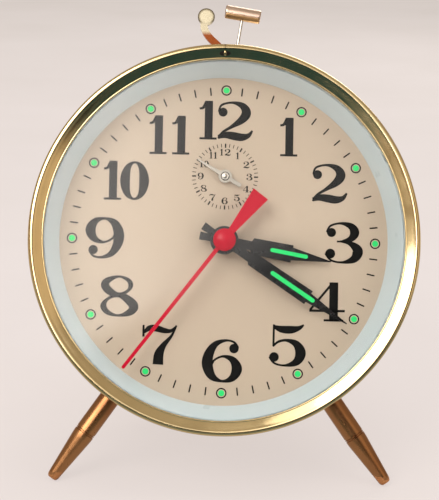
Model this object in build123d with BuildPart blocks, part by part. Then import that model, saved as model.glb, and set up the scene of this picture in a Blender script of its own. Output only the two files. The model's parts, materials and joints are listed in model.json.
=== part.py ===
from build123d import *
from math import acos, atan2, cos, degrees, hypot, radians, sin
import os

os.makedirs("parts", exist_ok=True)

# Fits
running_fit = 0.05
part_gap = 0.3

# Hands, stacked above the dial
alarm_height = 0.8
hand_thick = 0.4
hand_space = 1.0
boss_height = 2.0
hand_room = 1.0
tick_gap = 0.8
hour_height = alarm_height + hand_thick + hand_space
minute_height = hour_height + hand_thick + hand_space
second_height = minute_height + hand_thick + hand_space
boss_top = second_height + boss_height

# Case, front ring and glass (radius or height above the dial face, toward the viewer)
case_radius = 54.0
case_wall = 0.8
rear_round = 3.0
rear_rim = 7.0
bead_radius = 0.9
bezel_wall = 0.95
bezel_roll = 1.5
bezel_slope = 2.8
slope_rise = 1.3
lip_thick = 1.0
glass_hold = 0.9
glass_flat = 1.0
glass_thick = 1.4
glass_rise = 1.2
ring_slope = 3.4
ring_wall = 0.9
ring_flange = 0.8
ring_seat = 2.0
dial_thick = 0.5
rim_centre = case_radius - rear_round
rear_opening = rim_centre - rear_rim
bezel_radius = case_radius + running_fit + bezel_wall
roll_radius = bezel_radius - bezel_roll
bezel_inner = roll_radius - bezel_slope
glass_radius = bezel_inner + glass_hold
ring_outer = bezel_inner - part_gap
ring_inner = ring_outer - ring_slope
dial_radius = ring_inner + ring_seat
ring_top = boss_top + hand_room - glass_rise
case_front = ring_top - ring_flange
glass_top = ring_top + glass_thick
bezel_lip = glass_top + lip_thick
bezel_front = bezel_lip + slope_rise

# Legs
leg_angle = 35.0
leg_height = -5.0
leg_radius = 3.0
shank_length = 12.0
barrel_length = 4.4
taper_length = 12.0
tip_radius = 1.75
stud_radius = 1.5
nut_thick = 1.6
nut_gap = 0.2
leg_groove = case_radius + shank_length
leg_taper = leg_groove + barrel_length
leg_tip = leg_taper + taper_length
nut_root = case_radius - case_wall - nut_gap - nut_thick

# Movement plates and rear cover, measured the same way
front_plate_face = -6.0
plate_thick = 1.2
plate_space = 30.8
plate_margin = 1.64
bridge_face = -16.0
rear_room = 10.8
cover_depth = 2.5
cover_thick = 0.7
cover_seat = 3.0
cover_land = 4.0
cover_inset = 6.0
knob_gap = 1.5
key_length = 15.3
wing_depth = 6.5
key_floor = 1.5
key_seat = key_length - wing_depth - key_floor
back_plate_face = front_plate_face - plate_thick - plate_space
plate_rear = back_plate_face - plate_thick
case_rear = plate_rear - rear_room
dish_radius = rear_opening - cover_land
dish_floor = case_rear - cover_depth
knob_front = dish_floor - cover_thick - knob_gap
key_end = knob_front - key_length

# Toothed wheels
wheel_addendum = 0.5
wheel_dedendum = 1.0
wheel_width = 0.40
pinion_addendum = 0.45
pinion_dedendum = 1.05
pinion_width = 0.36
tip_width = 0.16

# Arbor places on the dial plane
centre = (0.0, 0.0)
third_distance = 10.2
third = (0.0, -third_distance)
escape_distance = 10.08
escape = (escape_distance * cos(radians(-120)), escape_distance * sin(radians(-120)))
pallet = (-5.9, -16.6)
balance = (-7.0, -26.0)
time_distance = 21.0
time_drum = (time_distance * cos(radians(165)), time_distance * sin(radians(165)))
alarm_drum = (21.0, 14.0)
alarm_escape = (5.0, 29.0)
alarm_centre = (0.0, 18.5)
setting_distance = alarm_centre[1] * 2 / 3
setting = (setting_distance * cos(radians(-30)), setting_distance * sin(radians(-30)))
hammer = (0.0, 37.0)
stop = (-6.0, 37.0)
pillar_places = [(-34.0, -20.0), (30.0, -24.0), (-27.0, 30.0), (17.0, 36.0)]
cover_circle = dish_radius - cover_inset
cover_places = [(cover_circle * cos(radians(angle)), cover_circle * sin(radians(angle)))
                for angle in (193.6, 342.1, 110.0)]
plate_radius = max(hypot(*place) for place in pillar_places) + plate_margin
bridge_places = [(-13.0, -14.5), (10.0, -19.0), (-8.0, -37.0)]
click_reach = 9.0
time_click_place = (time_drum[0], time_drum[1] + click_reach)
alarm_click_place = (alarm_drum[0], alarm_drum[1] - click_reach)
bell_place = (11.0, 25.0)
bell_depth = 6.8
bell_floor = plate_rear - bell_depth
foot_places = [(-26.0, -24.0), (26.0, -24.0), (-24.0, 26.0)]

# Angles of the hands, clockwise from twelve
minute_angle = 123.4
hour_angle = 100.3
second_angle = 217.4
alarm_angle = 300.7
hammer_lean = 8.7
anchor_spread = 48.0

# The clock leans back until both leg tips and the rear rim touch the floor
rise = leg_tip * cos(radians(leg_angle)) - rim_centre
reach = leg_height - case_rear - rear_round
lean = acos((rear_round - tip_radius) / hypot(rise, reach)) - atan2(reach, rise)
axis_height = leg_tip * cos(radians(leg_angle)) * cos(lean) - leg_height * sin(lean) + tip_radius
key_thick = 1.4
front_reach = -(bezel_front - bezel_roll) * cos(lean) - roll_radius * sin(lean) - bezel_roll
rear_reach = -key_end * cos(lean) + (alarm_drum[1] + key_thick / 2) * sin(lean)
front = Vector(0, -cos(lean), sin(lean))
up = Vector(0, sin(lean), cos(lean))
middle = Vector(0, -(front_reach + rear_reach) / 2, axis_height)
right = Vector(1, 0, 0)
axle = Axis(middle, front)
profile_plane = Plane(middle, x_dir=right, z_dir=up * -1)


def at(place, height, turn=0.0):
    """Plane facing the viewer at a place on the dial and a height above it, turned about its normal."""
    spot = middle + right * place[0] + up * place[1] + front * height
    return Plane(spot, x_dir=right * cos(radians(turn)) + up * sin(radians(turn)), z_dir=front)


def side_on(place, height=0.0):
    """Plane through an arbor: first coordinate to the right, second toward the viewer."""
    return Plane(at(place, height).origin, x_dir=right, z_dir=up * -1)


def keep(piece, name):
    """Label a finished piece and write it out."""
    piece.part.label = name
    export_step(piece.part, f"parts/{name}.step")


def cap_point(radius, rise):
    """Point halfway along a round cap, measured from the centre of its base."""
    sphere = (radius ** 2 + rise ** 2) / (2 * rise)
    half = atan2(radius, sphere - rise) / 2
    return sphere * sin(half), rise - sphere * (1 - cos(half))


def distance(a, b):
    return hypot(b[0] - a[0], b[1] - a[1])


def bearing(a, b):
    return degrees(atan2(b[1] - a[1], b[0] - a[0]))


def meshed(a, b, phase_a, teeth_a, teeth_b):
    """Angle of a tooth on wheel b that lets it run with wheel a."""
    share = ((bearing(a, b) - phase_a) * teeth_a / 360) % 1
    return bearing(a, b) + 180 - (0.5 - share) * 360 / teeth_b


def teeth(count, module, phase, pinion=False):
    """Draw a ring of straight-sided teeth and its root disc."""
    pitch = count * module / 2
    addendum = pinion_addendum if pinion else wheel_addendum
    dedendum = pinion_dedendum if pinion else wheel_dedendum
    half = (pinion_width if pinion else wheel_width) * 3.1416 * module / 2
    half_tip = tip_width * 3.1416 * module / 2
    root = pitch - dedendum * module
    tip = pitch + addendum * module
    half_root = half + (half - half_tip) * dedendum / addendum
    foot = root - 0.2 * module
    half_foot = half_root + (half - half_tip) * 0.2 / addendum
    if pinion:
        foot = root
        half_foot = min(half_root, root * 0.36)
    Circle(root)
    with PolarLocations(0, count, start_angle=phase):
        Polygon((foot * 0.98, -half_foot), (tip, -half_tip), (tip, half_tip), (foot * 0.98, half_foot),
                align=None)


def spoked_wheel(place, height, thick, count, module, phase, bore, spokes=4):
    """Flat toothed wheel with windows between its spokes."""
    rim = (count / 2 - wheel_dedendum - 2.2) * module
    hub = max(bore + 1.0, rim * 0.3)
    with BuildPart() as wheel:
        with BuildSketch(at(place, height)):
            teeth(count, module, phase)
            Circle(bore, mode=Mode.SUBTRACT)
            if spokes:
                with PolarLocations((rim + hub) / 2, spokes, start_angle=45):
                    Circle((rim - hub) / 2, mode=Mode.SUBTRACT)
        extrude(amount=thick)
    return wheel


def spiral(place, height, thick, start, step, half_turns, strip):
    """Coiled strip made of half circles about two centres."""
    with BuildPart() as coil:
        with BuildSketch(at(place, height)):
            with BuildLine():
                for turn in range(half_turns):
                    shift = step * (turn % 2)
                    radius = start + step * turn
                    CenterArc((shift, 0), radius + strip / 2, 180 * (turn % 2), 180)
                    CenterArc((shift, 0), radius - strip / 2, 180 * (turn % 2), 180)
                last = step * ((half_turns - 1) % 2)
                end = start + step * (half_turns - 1)
                side = 1 if half_turns % 2 == 0 else -1
                Line((start - strip / 2, 0), (start + strip / 2, 0))
                Line((last + side * (end - strip / 2), 0), (last + side * (end + strip / 2), 0))
            make_face()
        extrude(amount=thick)
    return coil


# Case shell: drawn can with a stop bead, a turned-in rear rim, leg holes and two slots on top
with BuildPart() as case_shell:
    with BuildSketch(profile_plane):
        with BuildLine():
            Polyline((case_radius - case_wall, case_front), (case_radius, case_front),
                     (case_radius, case_rear + rear_round))
            RadiusArc((case_radius, case_rear + rear_round), (rim_centre, case_rear), rear_round)
            Polyline((rim_centre, case_rear), (rear_opening, case_rear),
                     (rear_opening, case_rear + case_wall), (rim_centre, case_rear + case_wall))
            RadiusArc((rim_centre, case_rear + case_wall),
                      (case_radius - case_wall, case_rear + rear_round), case_wall - rear_round)
            Line((case_radius - case_wall, case_rear + rear_round), (case_radius - case_wall, case_front))
        make_face()
        with Locations((case_radius - 0.1, 0)):
            Circle(bead_radius)
        with Locations((case_radius - case_wall - 1.0, 0)):
            Rectangle(2.0, 4.0, mode=Mode.SUBTRACT)
    revolve(axis=axle)
    with BuildSketch(Plane(at((0, case_radius - 8), 0).origin, x_dir=right, z_dir=up)):
        with Locations((0, 16)):
            SlotOverall(17.0, 4.0)
        with Locations((-2.6, 10)):
            SlotOverall(15.0, 3.2)
    extrude(amount=10, mode=Mode.SUBTRACT)
    for side in (-1, 1):
        along = right * (side * sin(radians(leg_angle))) + up * -cos(radians(leg_angle))
        hole_point = at(centre, leg_height).origin + along * (case_radius - 4)
        with BuildSketch(Plane(hole_point, x_dir=front, z_dir=along)):
            Circle(stud_radius + running_fit)
        extrude(amount=8, mode=Mode.SUBTRACT)
keep(case_shell, "case_shell")

# Bezel: rolled ring whose inner slope falls to the lip that holds the glass
roll_height = bezel_front - bezel_roll
roll_inner = bezel_roll - bezel_wall
with BuildPart() as bezel:
    with BuildSketch(profile_plane):
        with BuildLine():
            Polyline((case_radius + running_fit, 1.0), (bezel_radius, 1.0), (bezel_radius, roll_height))
            RadiusArc((bezel_radius, roll_height), (roll_radius, bezel_front), -bezel_roll)
            Polyline((roll_radius, bezel_front), (bezel_inner + 0.4, bezel_lip + 0.1),
                     (bezel_inner, bezel_lip - 0.2), (bezel_inner, glass_top),
                     (roll_radius - 0.6, glass_top), (roll_radius, roll_height + roll_inner))
            RadiusArc((roll_radius, roll_height + roll_inner), (case_radius + running_fit, roll_height),
                      roll_inner)
            Line((case_radius + running_fit, roll_height), (case_radius + running_fit, 1.0))
        make_face()
    revolve(axis=axle)
keep(bezel, "bezel")

# Glass: flat rim and a slight dome
dome_radius = bezel_inner - glass_flat
dome_half = cap_point(dome_radius, glass_rise)
with BuildPart() as glass:
    with BuildSketch(profile_plane):
        with BuildLine():
            Line((0, ring_top + glass_rise), (0, glass_top + glass_rise))
            ThreePointArc((0, glass_top + glass_rise), (dome_half[0], glass_top + dome_half[1]),
                          (dome_radius, glass_top))
            Polyline((dome_radius, glass_top), (glass_radius, glass_top), (glass_radius, ring_top),
                     (dome_radius, ring_top))
            ThreePointArc((dome_radius, ring_top), (dome_half[0], ring_top + dome_half[1]),
                          (0, ring_top + glass_rise))
        make_face()
    revolve(axis=axle)
keep(glass, "glass")

# White ring between dial and glass, carried on the front edge of the case
with BuildPart() as dial_ring:
    with BuildSketch(profile_plane):
        with BuildLine():
            Polyline((ring_inner, 0), (ring_outer, ring_top), (case_radius - 0.1, ring_top),
                     (case_radius - 0.1, case_front), (ring_outer + ring_wall, case_front),
                     (ring_inner + ring_wall, 0), close=True)
        make_face()
    revolve(axis=axle)
keep(dial_ring, "dial_ring")

# Dial with three feet on the front plate
with BuildPart() as dial:
    with BuildSketch(at(centre, -dial_thick)):
        Circle(dial_radius)
        Circle(3.0, mode=Mode.SUBTRACT)
        with Locations(alarm_centre):
            Circle(1.3, mode=Mode.SUBTRACT)
    extrude(amount=dial_thick)
    with BuildSketch(at(centre, front_plate_face)):
        with Locations(foot_places):
            Circle(1.2)
    extrude(amount=-front_plate_face - dial_thick)
keep(dial, "dial")

# Legs: turned, grooved, tapered to a round tip, with a stud and nut through the case
for side, name in ((-1, "left_leg"), (1, "right_leg")):
    along = right * (side * sin(radians(leg_angle))) + up * -cos(radians(leg_angle))
    root_point = at(centre, leg_height).origin
    with BuildPart() as leg:
        with BuildSketch(Plane(root_point, x_dir=front, z_dir=front.cross(along))):
            with BuildLine():
                Polyline((0, nut_root - 0.1), (stud_radius, nut_root - 0.1),
                         (stud_radius, case_radius + 0.03), (leg_radius, case_radius + 0.03),
                         (leg_radius, leg_groove - 0.35), (leg_radius - 0.35, leg_groove),
                         (leg_radius, leg_groove + 0.35))
                ThreePointArc((leg_radius, leg_groove + 0.35),
                              (leg_radius + 0.12, (leg_groove + leg_taper) / 2),
                              (leg_radius - 0.05, leg_taper))
                Line((leg_radius - 0.05, leg_taper), (tip_radius, leg_tip))
                RadiusArc((tip_radius, leg_tip), (0, leg_tip + tip_radius), -tip_radius)
                Line((0, leg_tip + tip_radius), (0, nut_root - 0.1))
            make_face()
        revolve(axis=Axis(root_point, along))
    keep(leg, name)
with BuildPart() as leg_nuts:
    for side in (-1, 1):
        along = right * (side * sin(radians(leg_angle))) + up * -cos(radians(leg_angle))
        with BuildSketch(Plane(at(centre, leg_height).origin + along * nut_root, x_dir=front, z_dir=along)):
            RegularPolygon(3.0, 6)
            Circle(stud_radius + running_fit, mode=Mode.SUBTRACT)
        extrude(amount=nut_thick)
keep(leg_nuts, "leg_nuts")

# Rear cover: pressed dish with holes for the arbors and an arc slot for the regulator
regulator_radius = 12.0
regulator_turn = -45
regulator_face = plate_rear - 1.8
with BuildPart() as rear_cover:
    with BuildSketch(profile_plane):
        with BuildLine():
            Polyline((0, dish_floor), (dish_radius - 1.5, dish_floor), (dish_radius, case_rear),
                     (rear_opening + cover_seat, case_rear),
                     (rear_opening + cover_seat, case_rear - cover_thick),
                     (dish_radius + 0.6, case_rear - cover_thick),
                     (dish_radius - 0.9, dish_floor - cover_thick), (0, dish_floor - cover_thick), close=True)
        make_face()
    revolve(axis=axle)
    with BuildSketch(at(centre, dish_floor - 2)):
        with Locations(time_drum, alarm_drum):
            Circle(2.6)
        with Locations(setting, alarm_centre):
            Circle(1.5)
        with Locations(cover_places):
            Circle(1.3)
    extrude(amount=4, mode=Mode.SUBTRACT)
    with BuildSketch(at(balance, dish_floor - 2, regulator_turn)):
        with Locations((0, regulator_radius - 0.2)):
            SlotOverall(10.5, 3.0)
    extrude(amount=4, mode=Mode.SUBTRACT)
keep(rear_cover, "rear_cover")
with BuildPart() as cover_posts:
    with BuildSketch(at(centre, dish_floor)):
        with Locations(cover_places):
            Circle(2.2)
            Circle(1.0, mode=Mode.SUBTRACT)
    extrude(amount=plate_rear - dish_floor)
keep(cover_posts, "cover_posts")
with BuildPart() as cover_screws:
    with BuildSketch(at(centre, dish_floor - cover_thick - 1.0)):
        with Locations(cover_places):
            Circle(2.3)
    extrude(amount=1.0)
    with BuildSketch(at(centre, dish_floor - cover_thick)):
        with Locations(cover_places):
            Circle(1.0)
    extrude(amount=6)
keep(cover_screws, "cover_screws")

# Plates, pillars and the inner train bridge
drum_pivot = 1.6
fine_pivot = 0.4
with BuildPart() as front_plate:
    with BuildSketch(at(centre, front_plate_face - plate_thick)):
        Circle(plate_radius)
        Circle(1.4 + running_fit, mode=Mode.SUBTRACT)
        with Locations(time_drum, alarm_drum):
            Circle(drum_pivot + running_fit, mode=Mode.SUBTRACT)
        with Locations(third):
            Circle(fine_pivot + running_fit, mode=Mode.SUBTRACT)
        with Locations(setting, alarm_centre):
            Circle(1.0 + running_fit, mode=Mode.SUBTRACT)
        with Locations(alarm_escape, hammer):
            Circle(0.6 + running_fit, mode=Mode.SUBTRACT)
        with Locations((-34, 6), (33, -6), (0, -33)):
            Circle(5.0, mode=Mode.SUBTRACT)
    extrude(amount=plate_thick)
    with BuildSketch(at(stop, front_plate_face - plate_thick - 4.0)):
        Circle(1.0)
    extrude(amount=4.0)
keep(front_plate, "front_plate")
with BuildPart() as back_plate:
    with BuildSketch(at(centre, back_plate_face - plate_thick)):
        Circle(plate_radius)
        with Locations(time_drum, alarm_drum):
            Circle(drum_pivot + running_fit, mode=Mode.SUBTRACT)
        with Locations(centre, escape, pallet, balance):
            Circle(fine_pivot + running_fit, mode=Mode.SUBTRACT)
        with Locations(setting, alarm_centre):
            Circle(1.0 + running_fit, mode=Mode.SUBTRACT)
        with Locations(alarm_escape, hammer):
            Circle(0.6 + running_fit, mode=Mode.SUBTRACT)
        with Locations(pillar_places):
            Circle(1.5 + running_fit, mode=Mode.SUBTRACT)
        with Locations(time_click_place, alarm_click_place):
            Circle(0.8 + running_fit, mode=Mode.SUBTRACT)
    extrude(amount=plate_thick)
keep(back_plate, "back_plate")
with BuildPart() as plate_pillars:
    with BuildSketch(at(centre, back_plate_face)):
        with Locations(pillar_places):
            Circle(2.5)
    extrude(amount=front_plate_face - plate_thick - back_plate_face)
    with BuildSketch(at(centre, back_plate_face - 4)):
        with Locations(pillar_places):
            Circle(1.5)
    extrude(amount=4)
keep(plate_pillars, "plate_pillars")
with BuildPart() as pillar_nuts:
    with BuildSketch(at(centre, back_plate_face - plate_thick - 2.2)):
        with Locations(pillar_places):
            RegularPolygon(3.0, 6)
            Circle(1.5 + running_fit, mode=Mode.SUBTRACT)
    extrude(amount=2.2)
keep(pillar_nuts, "pillar_nuts")
with BuildPart() as train_bridge:
    with BuildSketch(at(centre, bridge_face - plate_thick)):
        with BuildLine():
            Polyline((3.5, 3.5), (-3.5, 3.5), (-15.5, -13), (-14.5, -18), (-11, -39.5), (-4.5, -39.5),
                     (2, -26), (12, -22), (12.5, -17), close=True)
        make_face()
        fillet(vertices(), 1.2)
        Circle(0.75 + running_fit, mode=Mode.SUBTRACT)
        with Locations(third, escape, pallet, balance):
            Circle(fine_pivot + running_fit, mode=Mode.SUBTRACT)
        with Locations(bridge_places):
            Circle(0.9 + running_fit, mode=Mode.SUBTRACT)
    extrude(amount=plate_thick)
keep(train_bridge, "train_bridge")
with BuildPart() as bridge_posts:
    with BuildSketch(at(centre, bridge_face)):
        with Locations(bridge_places):
            Circle(1.5)
    extrude(amount=front_plate_face - plate_thick - bridge_face)
    with BuildSketch(at(centre, bridge_face - plate_thick)):
        with Locations(bridge_places):
            Circle(0.9)
    extrude(amount=plate_thick)
keep(bridge_posts, "bridge_posts")

# Going train: tooth counts, and each module from its centre distance
great_count = 48
leaf_count = 8
centre_count = 64
third_count = 60
fourth_count = 64
great_module = 2 * time_distance / (great_count + leaf_count)
centre_module = 2 * third_distance / (centre_count + leaf_count)
third_module = 2 * third_distance / (third_count + leaf_count)
fourth_module = 2 * escape_distance / (fourth_count + leaf_count)
third_phase = meshed(centre, third, 0, leaf_count, third_count)
centre_phase = meshed(third, centre, 0, leaf_count, centre_count)
great_phase = meshed(centre, time_drum, 0, leaf_count, great_count)
escape_phase = meshed(centre, escape, 0, fourth_count, leaf_count)

# Seconds arbor through the hollow centre arbor, with its pinion, wheel and hand
with BuildPart() as seconds_arbor:
    for low, high, radius in ((back_plate_face - 1.0, back_plate_face + 1.0, fine_pivot),
                              (back_plate_face + 1.0, second_height + 1.0, 0.75)):
        with BuildSketch(at(centre, low)):
            Circle(radius)
        extrude(amount=high - low)
    with BuildSketch(at(centre, -15.0)):
        teeth(leaf_count, third_module, 0, True)
    extrude(amount=2.0)
keep(seconds_arbor, "seconds_arbor")
fourth_wheel = spoked_wheel(centre, -19.4, 0.8, fourth_count, fourth_module, 0, 0.75)
keep(fourth_wheel, "fourth_wheel")
boss_base = second_height + 0.7
boss_half = cap_point(3.2, boss_top - boss_base)
second_reach = ring_inner - tick_gap
with BuildPart() as second_hand:
    with BuildSketch(at(centre, second_height, -second_angle)):
        with BuildLine():
            Polyline((-0.6, 0), (-0.5, second_reach - 0.5))
            ThreePointArc((-0.5, second_reach - 0.5), (0, second_reach), (0.5, second_reach - 0.5))
            Polyline((0.5, second_reach - 0.5), (0.6, 0), (2.6, -16.6), (-2.6, -16.6), (-0.6, 0))
        make_face()
        Circle(3.2)
        Circle(0.75, mode=Mode.SUBTRACT)
    extrude(amount=hand_thick)
    with BuildSketch(profile_plane):
        with BuildLine():
            Polyline((0, second_height + 1.0), (0.75, second_height + 1.0),
                     (0.75, second_height + hand_thick), (3.2, second_height + hand_thick), (3.2, boss_base))
            ThreePointArc((3.2, boss_base), (boss_half[0], boss_base + boss_half[1]), (0, boss_top))
            Line((0, boss_top), (0, second_height + 1.0))
        make_face()
    revolve(axis=axle)
keep(second_hand, "second_hand")

# Centre arbor: hollow, with the pinion driven by the barrel
with BuildPart() as centre_arbor:
    with BuildSketch(at(centre, -12.2)):
        Circle(1.4)
    extrude(amount=minute_height + 11.1)
    with BuildSketch(at(centre, -11.8)):
        teeth(leaf_count, great_module, 0, True)
    extrude(amount=2.2)
    with BuildSketch(at(centre, -12.2)):
        Circle(0.75 + running_fit)
    extrude(amount=minute_height + 11.1, mode=Mode.SUBTRACT)
keep(centre_arbor, "centre_arbor")
centre_wheel = spoked_wheel(centre, -9.2, 0.8, centre_count, centre_module, centre_phase, 1.4)
keep(centre_wheel, "centre_wheel")

# Third arbor and wheel
with BuildPart() as third_arbor:
    for low, high, radius in ((bridge_face - 1.0, front_plate_face, fine_pivot),
                              (bridge_face + part_gap, front_plate_face - plate_thick - part_gap, 0.6)):
        with BuildSketch(at(third, low)):
            Circle(radius)
        extrude(amount=high - low)
    with BuildSketch(at(third, -9.8)):
        teeth(leaf_count, centre_module, 0, True)
    extrude(amount=2.0)
keep(third_arbor, "third_arbor")
third_wheel = spoked_wheel(third, -14.4, 0.8, third_count, third_module, third_phase, 0.6)
keep(third_wheel, "third_wheel")

# Escape arbor and wheel, pallet lever, balance and hairspring
with BuildPart() as escape_arbor:
    for low, high, radius in ((back_plate_face - 1.0, bridge_face, fine_pivot),
                              (back_plate_face + part_gap, bridge_face - plate_thick - part_gap, 0.6)):
        with BuildSketch(at(escape, low)):
            Circle(radius)
        extrude(amount=high - low)
    with BuildSketch(at(escape, -20.0)):
        teeth(leaf_count, fourth_module, escape_phase, True)
    extrude(amount=2.0)
keep(escape_arbor, "escape_arbor")
escape_tip = 6.0
with BuildPart() as escape_wheel:
    with BuildSketch(at(escape, -23.0)):
        Circle(4.6)
        with PolarLocations(0, 15):
            Polygon((4.2, -0.6), (escape_tip, 0.35), (escape_tip, 0.6), (4.2, 0.7), align=None)
        Circle(0.6, mode=Mode.SUBTRACT)
        with PolarLocations(2.5, 4):
            Circle(1.1, mode=Mode.SUBTRACT)
    extrude(amount=0.8)
keep(escape_wheel, "escape_wheel")
lever_turn = bearing(pallet, balance) - 90
with BuildPart() as pallet_lever:
    with BuildSketch(at(pallet, -23.0, lever_turn)):
        Circle(1.3)
        Polygon((-0.9, 0), (-0.5, 6.2), (-1.1, 7.0), (-0.5, 7.0), (0, 6.4), (0.5, 7.0), (1.1, 7.0),
                (0.5, 6.2), (0.9, 0), align=None)
        Polygon((-5.0, -1.6), (-4.6, -2.4), (0, -0.8), (4.6, -2.4), (5.0, -1.6), (0, 1.0), align=None)
    extrude(amount=0.8)
    with BuildSketch(at(pallet, -23.8, lever_turn)):
        with Locations((-4.4, -1.75), (4.4, -1.75)):
            Circle(0.3)
    extrude(amount=2.4)
    for low, high, radius in ((back_plate_face - 1.0, bridge_face, fine_pivot),
                              (back_plate_face + part_gap, bridge_face - plate_thick - part_gap, 0.6)):
        with BuildSketch(at(pallet, low)):
            Circle(radius)
        extrude(amount=high - low)
keep(pallet_lever, "pallet_lever")
with BuildPart() as balance_staff:
    for low, high, radius in ((back_plate_face - 1.0, bridge_face, fine_pivot),
                              (back_plate_face + part_gap, bridge_face - plate_thick - part_gap, 0.7),
                              (-24.0, -22.5, 1.6), (-33.2, -32.2, 1.3)):
        with BuildSketch(at(balance, low)):
            Circle(radius)
        extrude(amount=high - low)
keep(balance_staff, "balance_staff")
with BuildPart() as balance_wheel:
    with BuildSketch(at(balance, -29.0)):
        Circle(8.5)
        Circle(7.3, mode=Mode.SUBTRACT)
        Rectangle(15.0, 1.6)
        Circle(1.8)
        Circle(0.7, mode=Mode.SUBTRACT)
    extrude(amount=1.5)
keep(balance_wheel, "balance_wheel")
hairspring = spiral(balance, -33.0, 0.6, 1.8, 0.4, 10, 0.25)
keep(hairspring, "hairspring")
stud_place = (balance[0] + 5.8 + 0.9, balance[1])
with BuildPart() as hairspring_stud:
    with BuildSketch(at(stud_place, back_plate_face)):
        Circle(0.6)
    extrude(amount=5.6)
keep(hairspring_stud, "hairspring_stud")
with BuildPart() as regulator_lever:
    with BuildSketch(at(balance, regulator_face, regulator_turn)):
        Circle(2.2)
        with Locations((0, regulator_radius / 2)):
            Rectangle(1.6, regulator_radius)
        with Locations((0, regulator_radius)):
            Circle(1.2)
        Circle(0.9, mode=Mode.SUBTRACT)
    extrude(amount=0.8)
    with BuildSketch(at(balance, dish_floor - 3.5, regulator_turn)):
        with Locations((0, regulator_radius)):
            Circle(0.8)
    extrude(amount=regulator_face - dish_floor + 3.5)
keep(regulator_lever, "regulator_lever")
with BuildPart() as regulator_post:
    with BuildSketch(at(balance, regulator_face - 1.0)):
        Circle(1.6)
    extrude(amount=0.8)
    with BuildSketch(at(balance, regulator_face - 0.2)):
        Circle(0.9 - running_fit)
    extrude(amount=plate_rear - regulator_face + 0.2)
keep(regulator_post, "regulator_post")


def baton_hand(height, angle, bore, tail, neck, half_in, half_out, step, half_tip, length):
    """Stepped baton hand: narrow tail and neck, wide body, then a tapering point."""
    side = [(1.15, -tail), (1.0, -4.0), (1.3, 0.0), (1.3, neck - 0.5), (half_in, neck), (half_out, step),
            (half_tip, step), (0.15, length)]
    with BuildPart() as hand:
        with BuildSketch(at(centre, height, -angle)):
            Polygon(*side, *[(-x, y) for x, y in reversed(side)], align=None)
            Circle(4.0)
            Circle(bore, mode=Mode.SUBTRACT)
        extrude(amount=hand_thick)
    return hand


# Motion work behind the dial
minute_count = 40
cannon_count = 10
hour_count = 30
minute_module = 2 * setting_distance / (minute_count + cannon_count)
hour_module = 2 * setting_distance / (hour_count + cannon_count)
minute_phase = meshed(centre, setting, 0, cannon_count, minute_count)
hour_phase = meshed(setting, centre, 0, cannon_count, hour_count)
alarm_phase = meshed(centre, alarm_centre, hour_phase, hour_count, hour_count)
with BuildPart() as cannon_pinion:
    with BuildSketch(at(centre, -5.0)):
        Circle(1.9)
    extrude(amount=minute_height + hand_thick + 5.0)
    with BuildSketch(at(centre, -4.9)):
        teeth(cannon_count, minute_module, 0, True)
    extrude(amount=1.2)
    with BuildSketch(at(centre, -5.0)):
        Circle(1.4 + running_fit)
    extrude(amount=minute_height + hand_thick + 5.0, mode=Mode.SUBTRACT)
keep(cannon_pinion, "cannon_pinion")
minute_hand = baton_hand(minute_height, minute_angle, 1.9, 7.2, 9.5, 2.0, 2.2, 28.9, 1.43, ring_inner - 5.0)
keep(minute_hand, "minute_hand")
with BuildPart() as hour_wheel:
    with BuildSketch(at(centre, -2.6)):
        teeth(hour_count, hour_module, hour_phase)
    extrude(amount=1.0)
    with BuildSketch(at(centre, -2.6)):
        Circle(2.6)
    extrude(amount=hour_height + hand_thick + 2.6)
    with BuildSketch(at(centre, -2.6)):
        Circle(1.9 + running_fit)
    extrude(amount=hour_height + hand_thick + 2.6, mode=Mode.SUBTRACT)
keep(hour_wheel, "hour_wheel")
hour_hand = baton_hand(hour_height, hour_angle, 2.6, 7.1, 8.3, 2.3, 2.5, 19.7, 1.85, ring_inner - 16.0)
keep(hour_hand, "hour_hand")
with BuildPart() as setting_arbor:
    with BuildSketch(at(setting, knob_front - 3)):
        Circle(1.0)
    extrude(amount=-1.0 - knob_front + 3)
    with BuildSketch(at(setting, -2.6)):
        teeth(cannon_count, hour_module, 0, True)
    extrude(amount=1.0)
keep(setting_arbor, "setting_arbor")
minute_wheel = spoked_wheel(setting, -4.8, 1.0, minute_count, minute_module, minute_phase, 1.0)
keep(minute_wheel, "minute_wheel")
with BuildPart() as alarm_wheel:
    with BuildSketch(at(alarm_centre, -2.6)):
        teeth(hour_count, hour_module, alarm_phase)
    extrude(amount=1.0)
    with BuildSketch(at(alarm_centre, -4.6)):
        Circle(2.2)
    extrude(amount=2.0)
    with BuildSketch(at(alarm_centre, -4.6)):
        Circle(1.0 + running_fit)
    extrude(amount=3.0, mode=Mode.SUBTRACT)
keep(alarm_wheel, "alarm_wheel")


def knob(place, radius, length):
    """Turned finger knob with a sleeve and rounded edges."""
    with BuildPart() as turned:
        with BuildSketch(at(place, knob_front - length)):
            Circle(radius)
        extrude(amount=length - 1.0)
        fillet(turned.edges().filter_by(GeomType.CIRCLE), 0.7)
        with BuildSketch(at(place, knob_front - 1.0)):
            Circle(radius * 0.55)
        extrude(amount=1.0)
        with BuildSketch(at(place, knob_front - 3.0)):
            Circle(1.0)
        extrude(amount=3.0, mode=Mode.SUBTRACT)
    return turned


setting_knob = knob(setting, 5.0, 6.0)
keep(setting_knob, "setting_knob")
alarm_set_knob = knob(alarm_centre, 4.2, 6.0)
keep(alarm_set_knob, "alarm_set_knob")

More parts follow.
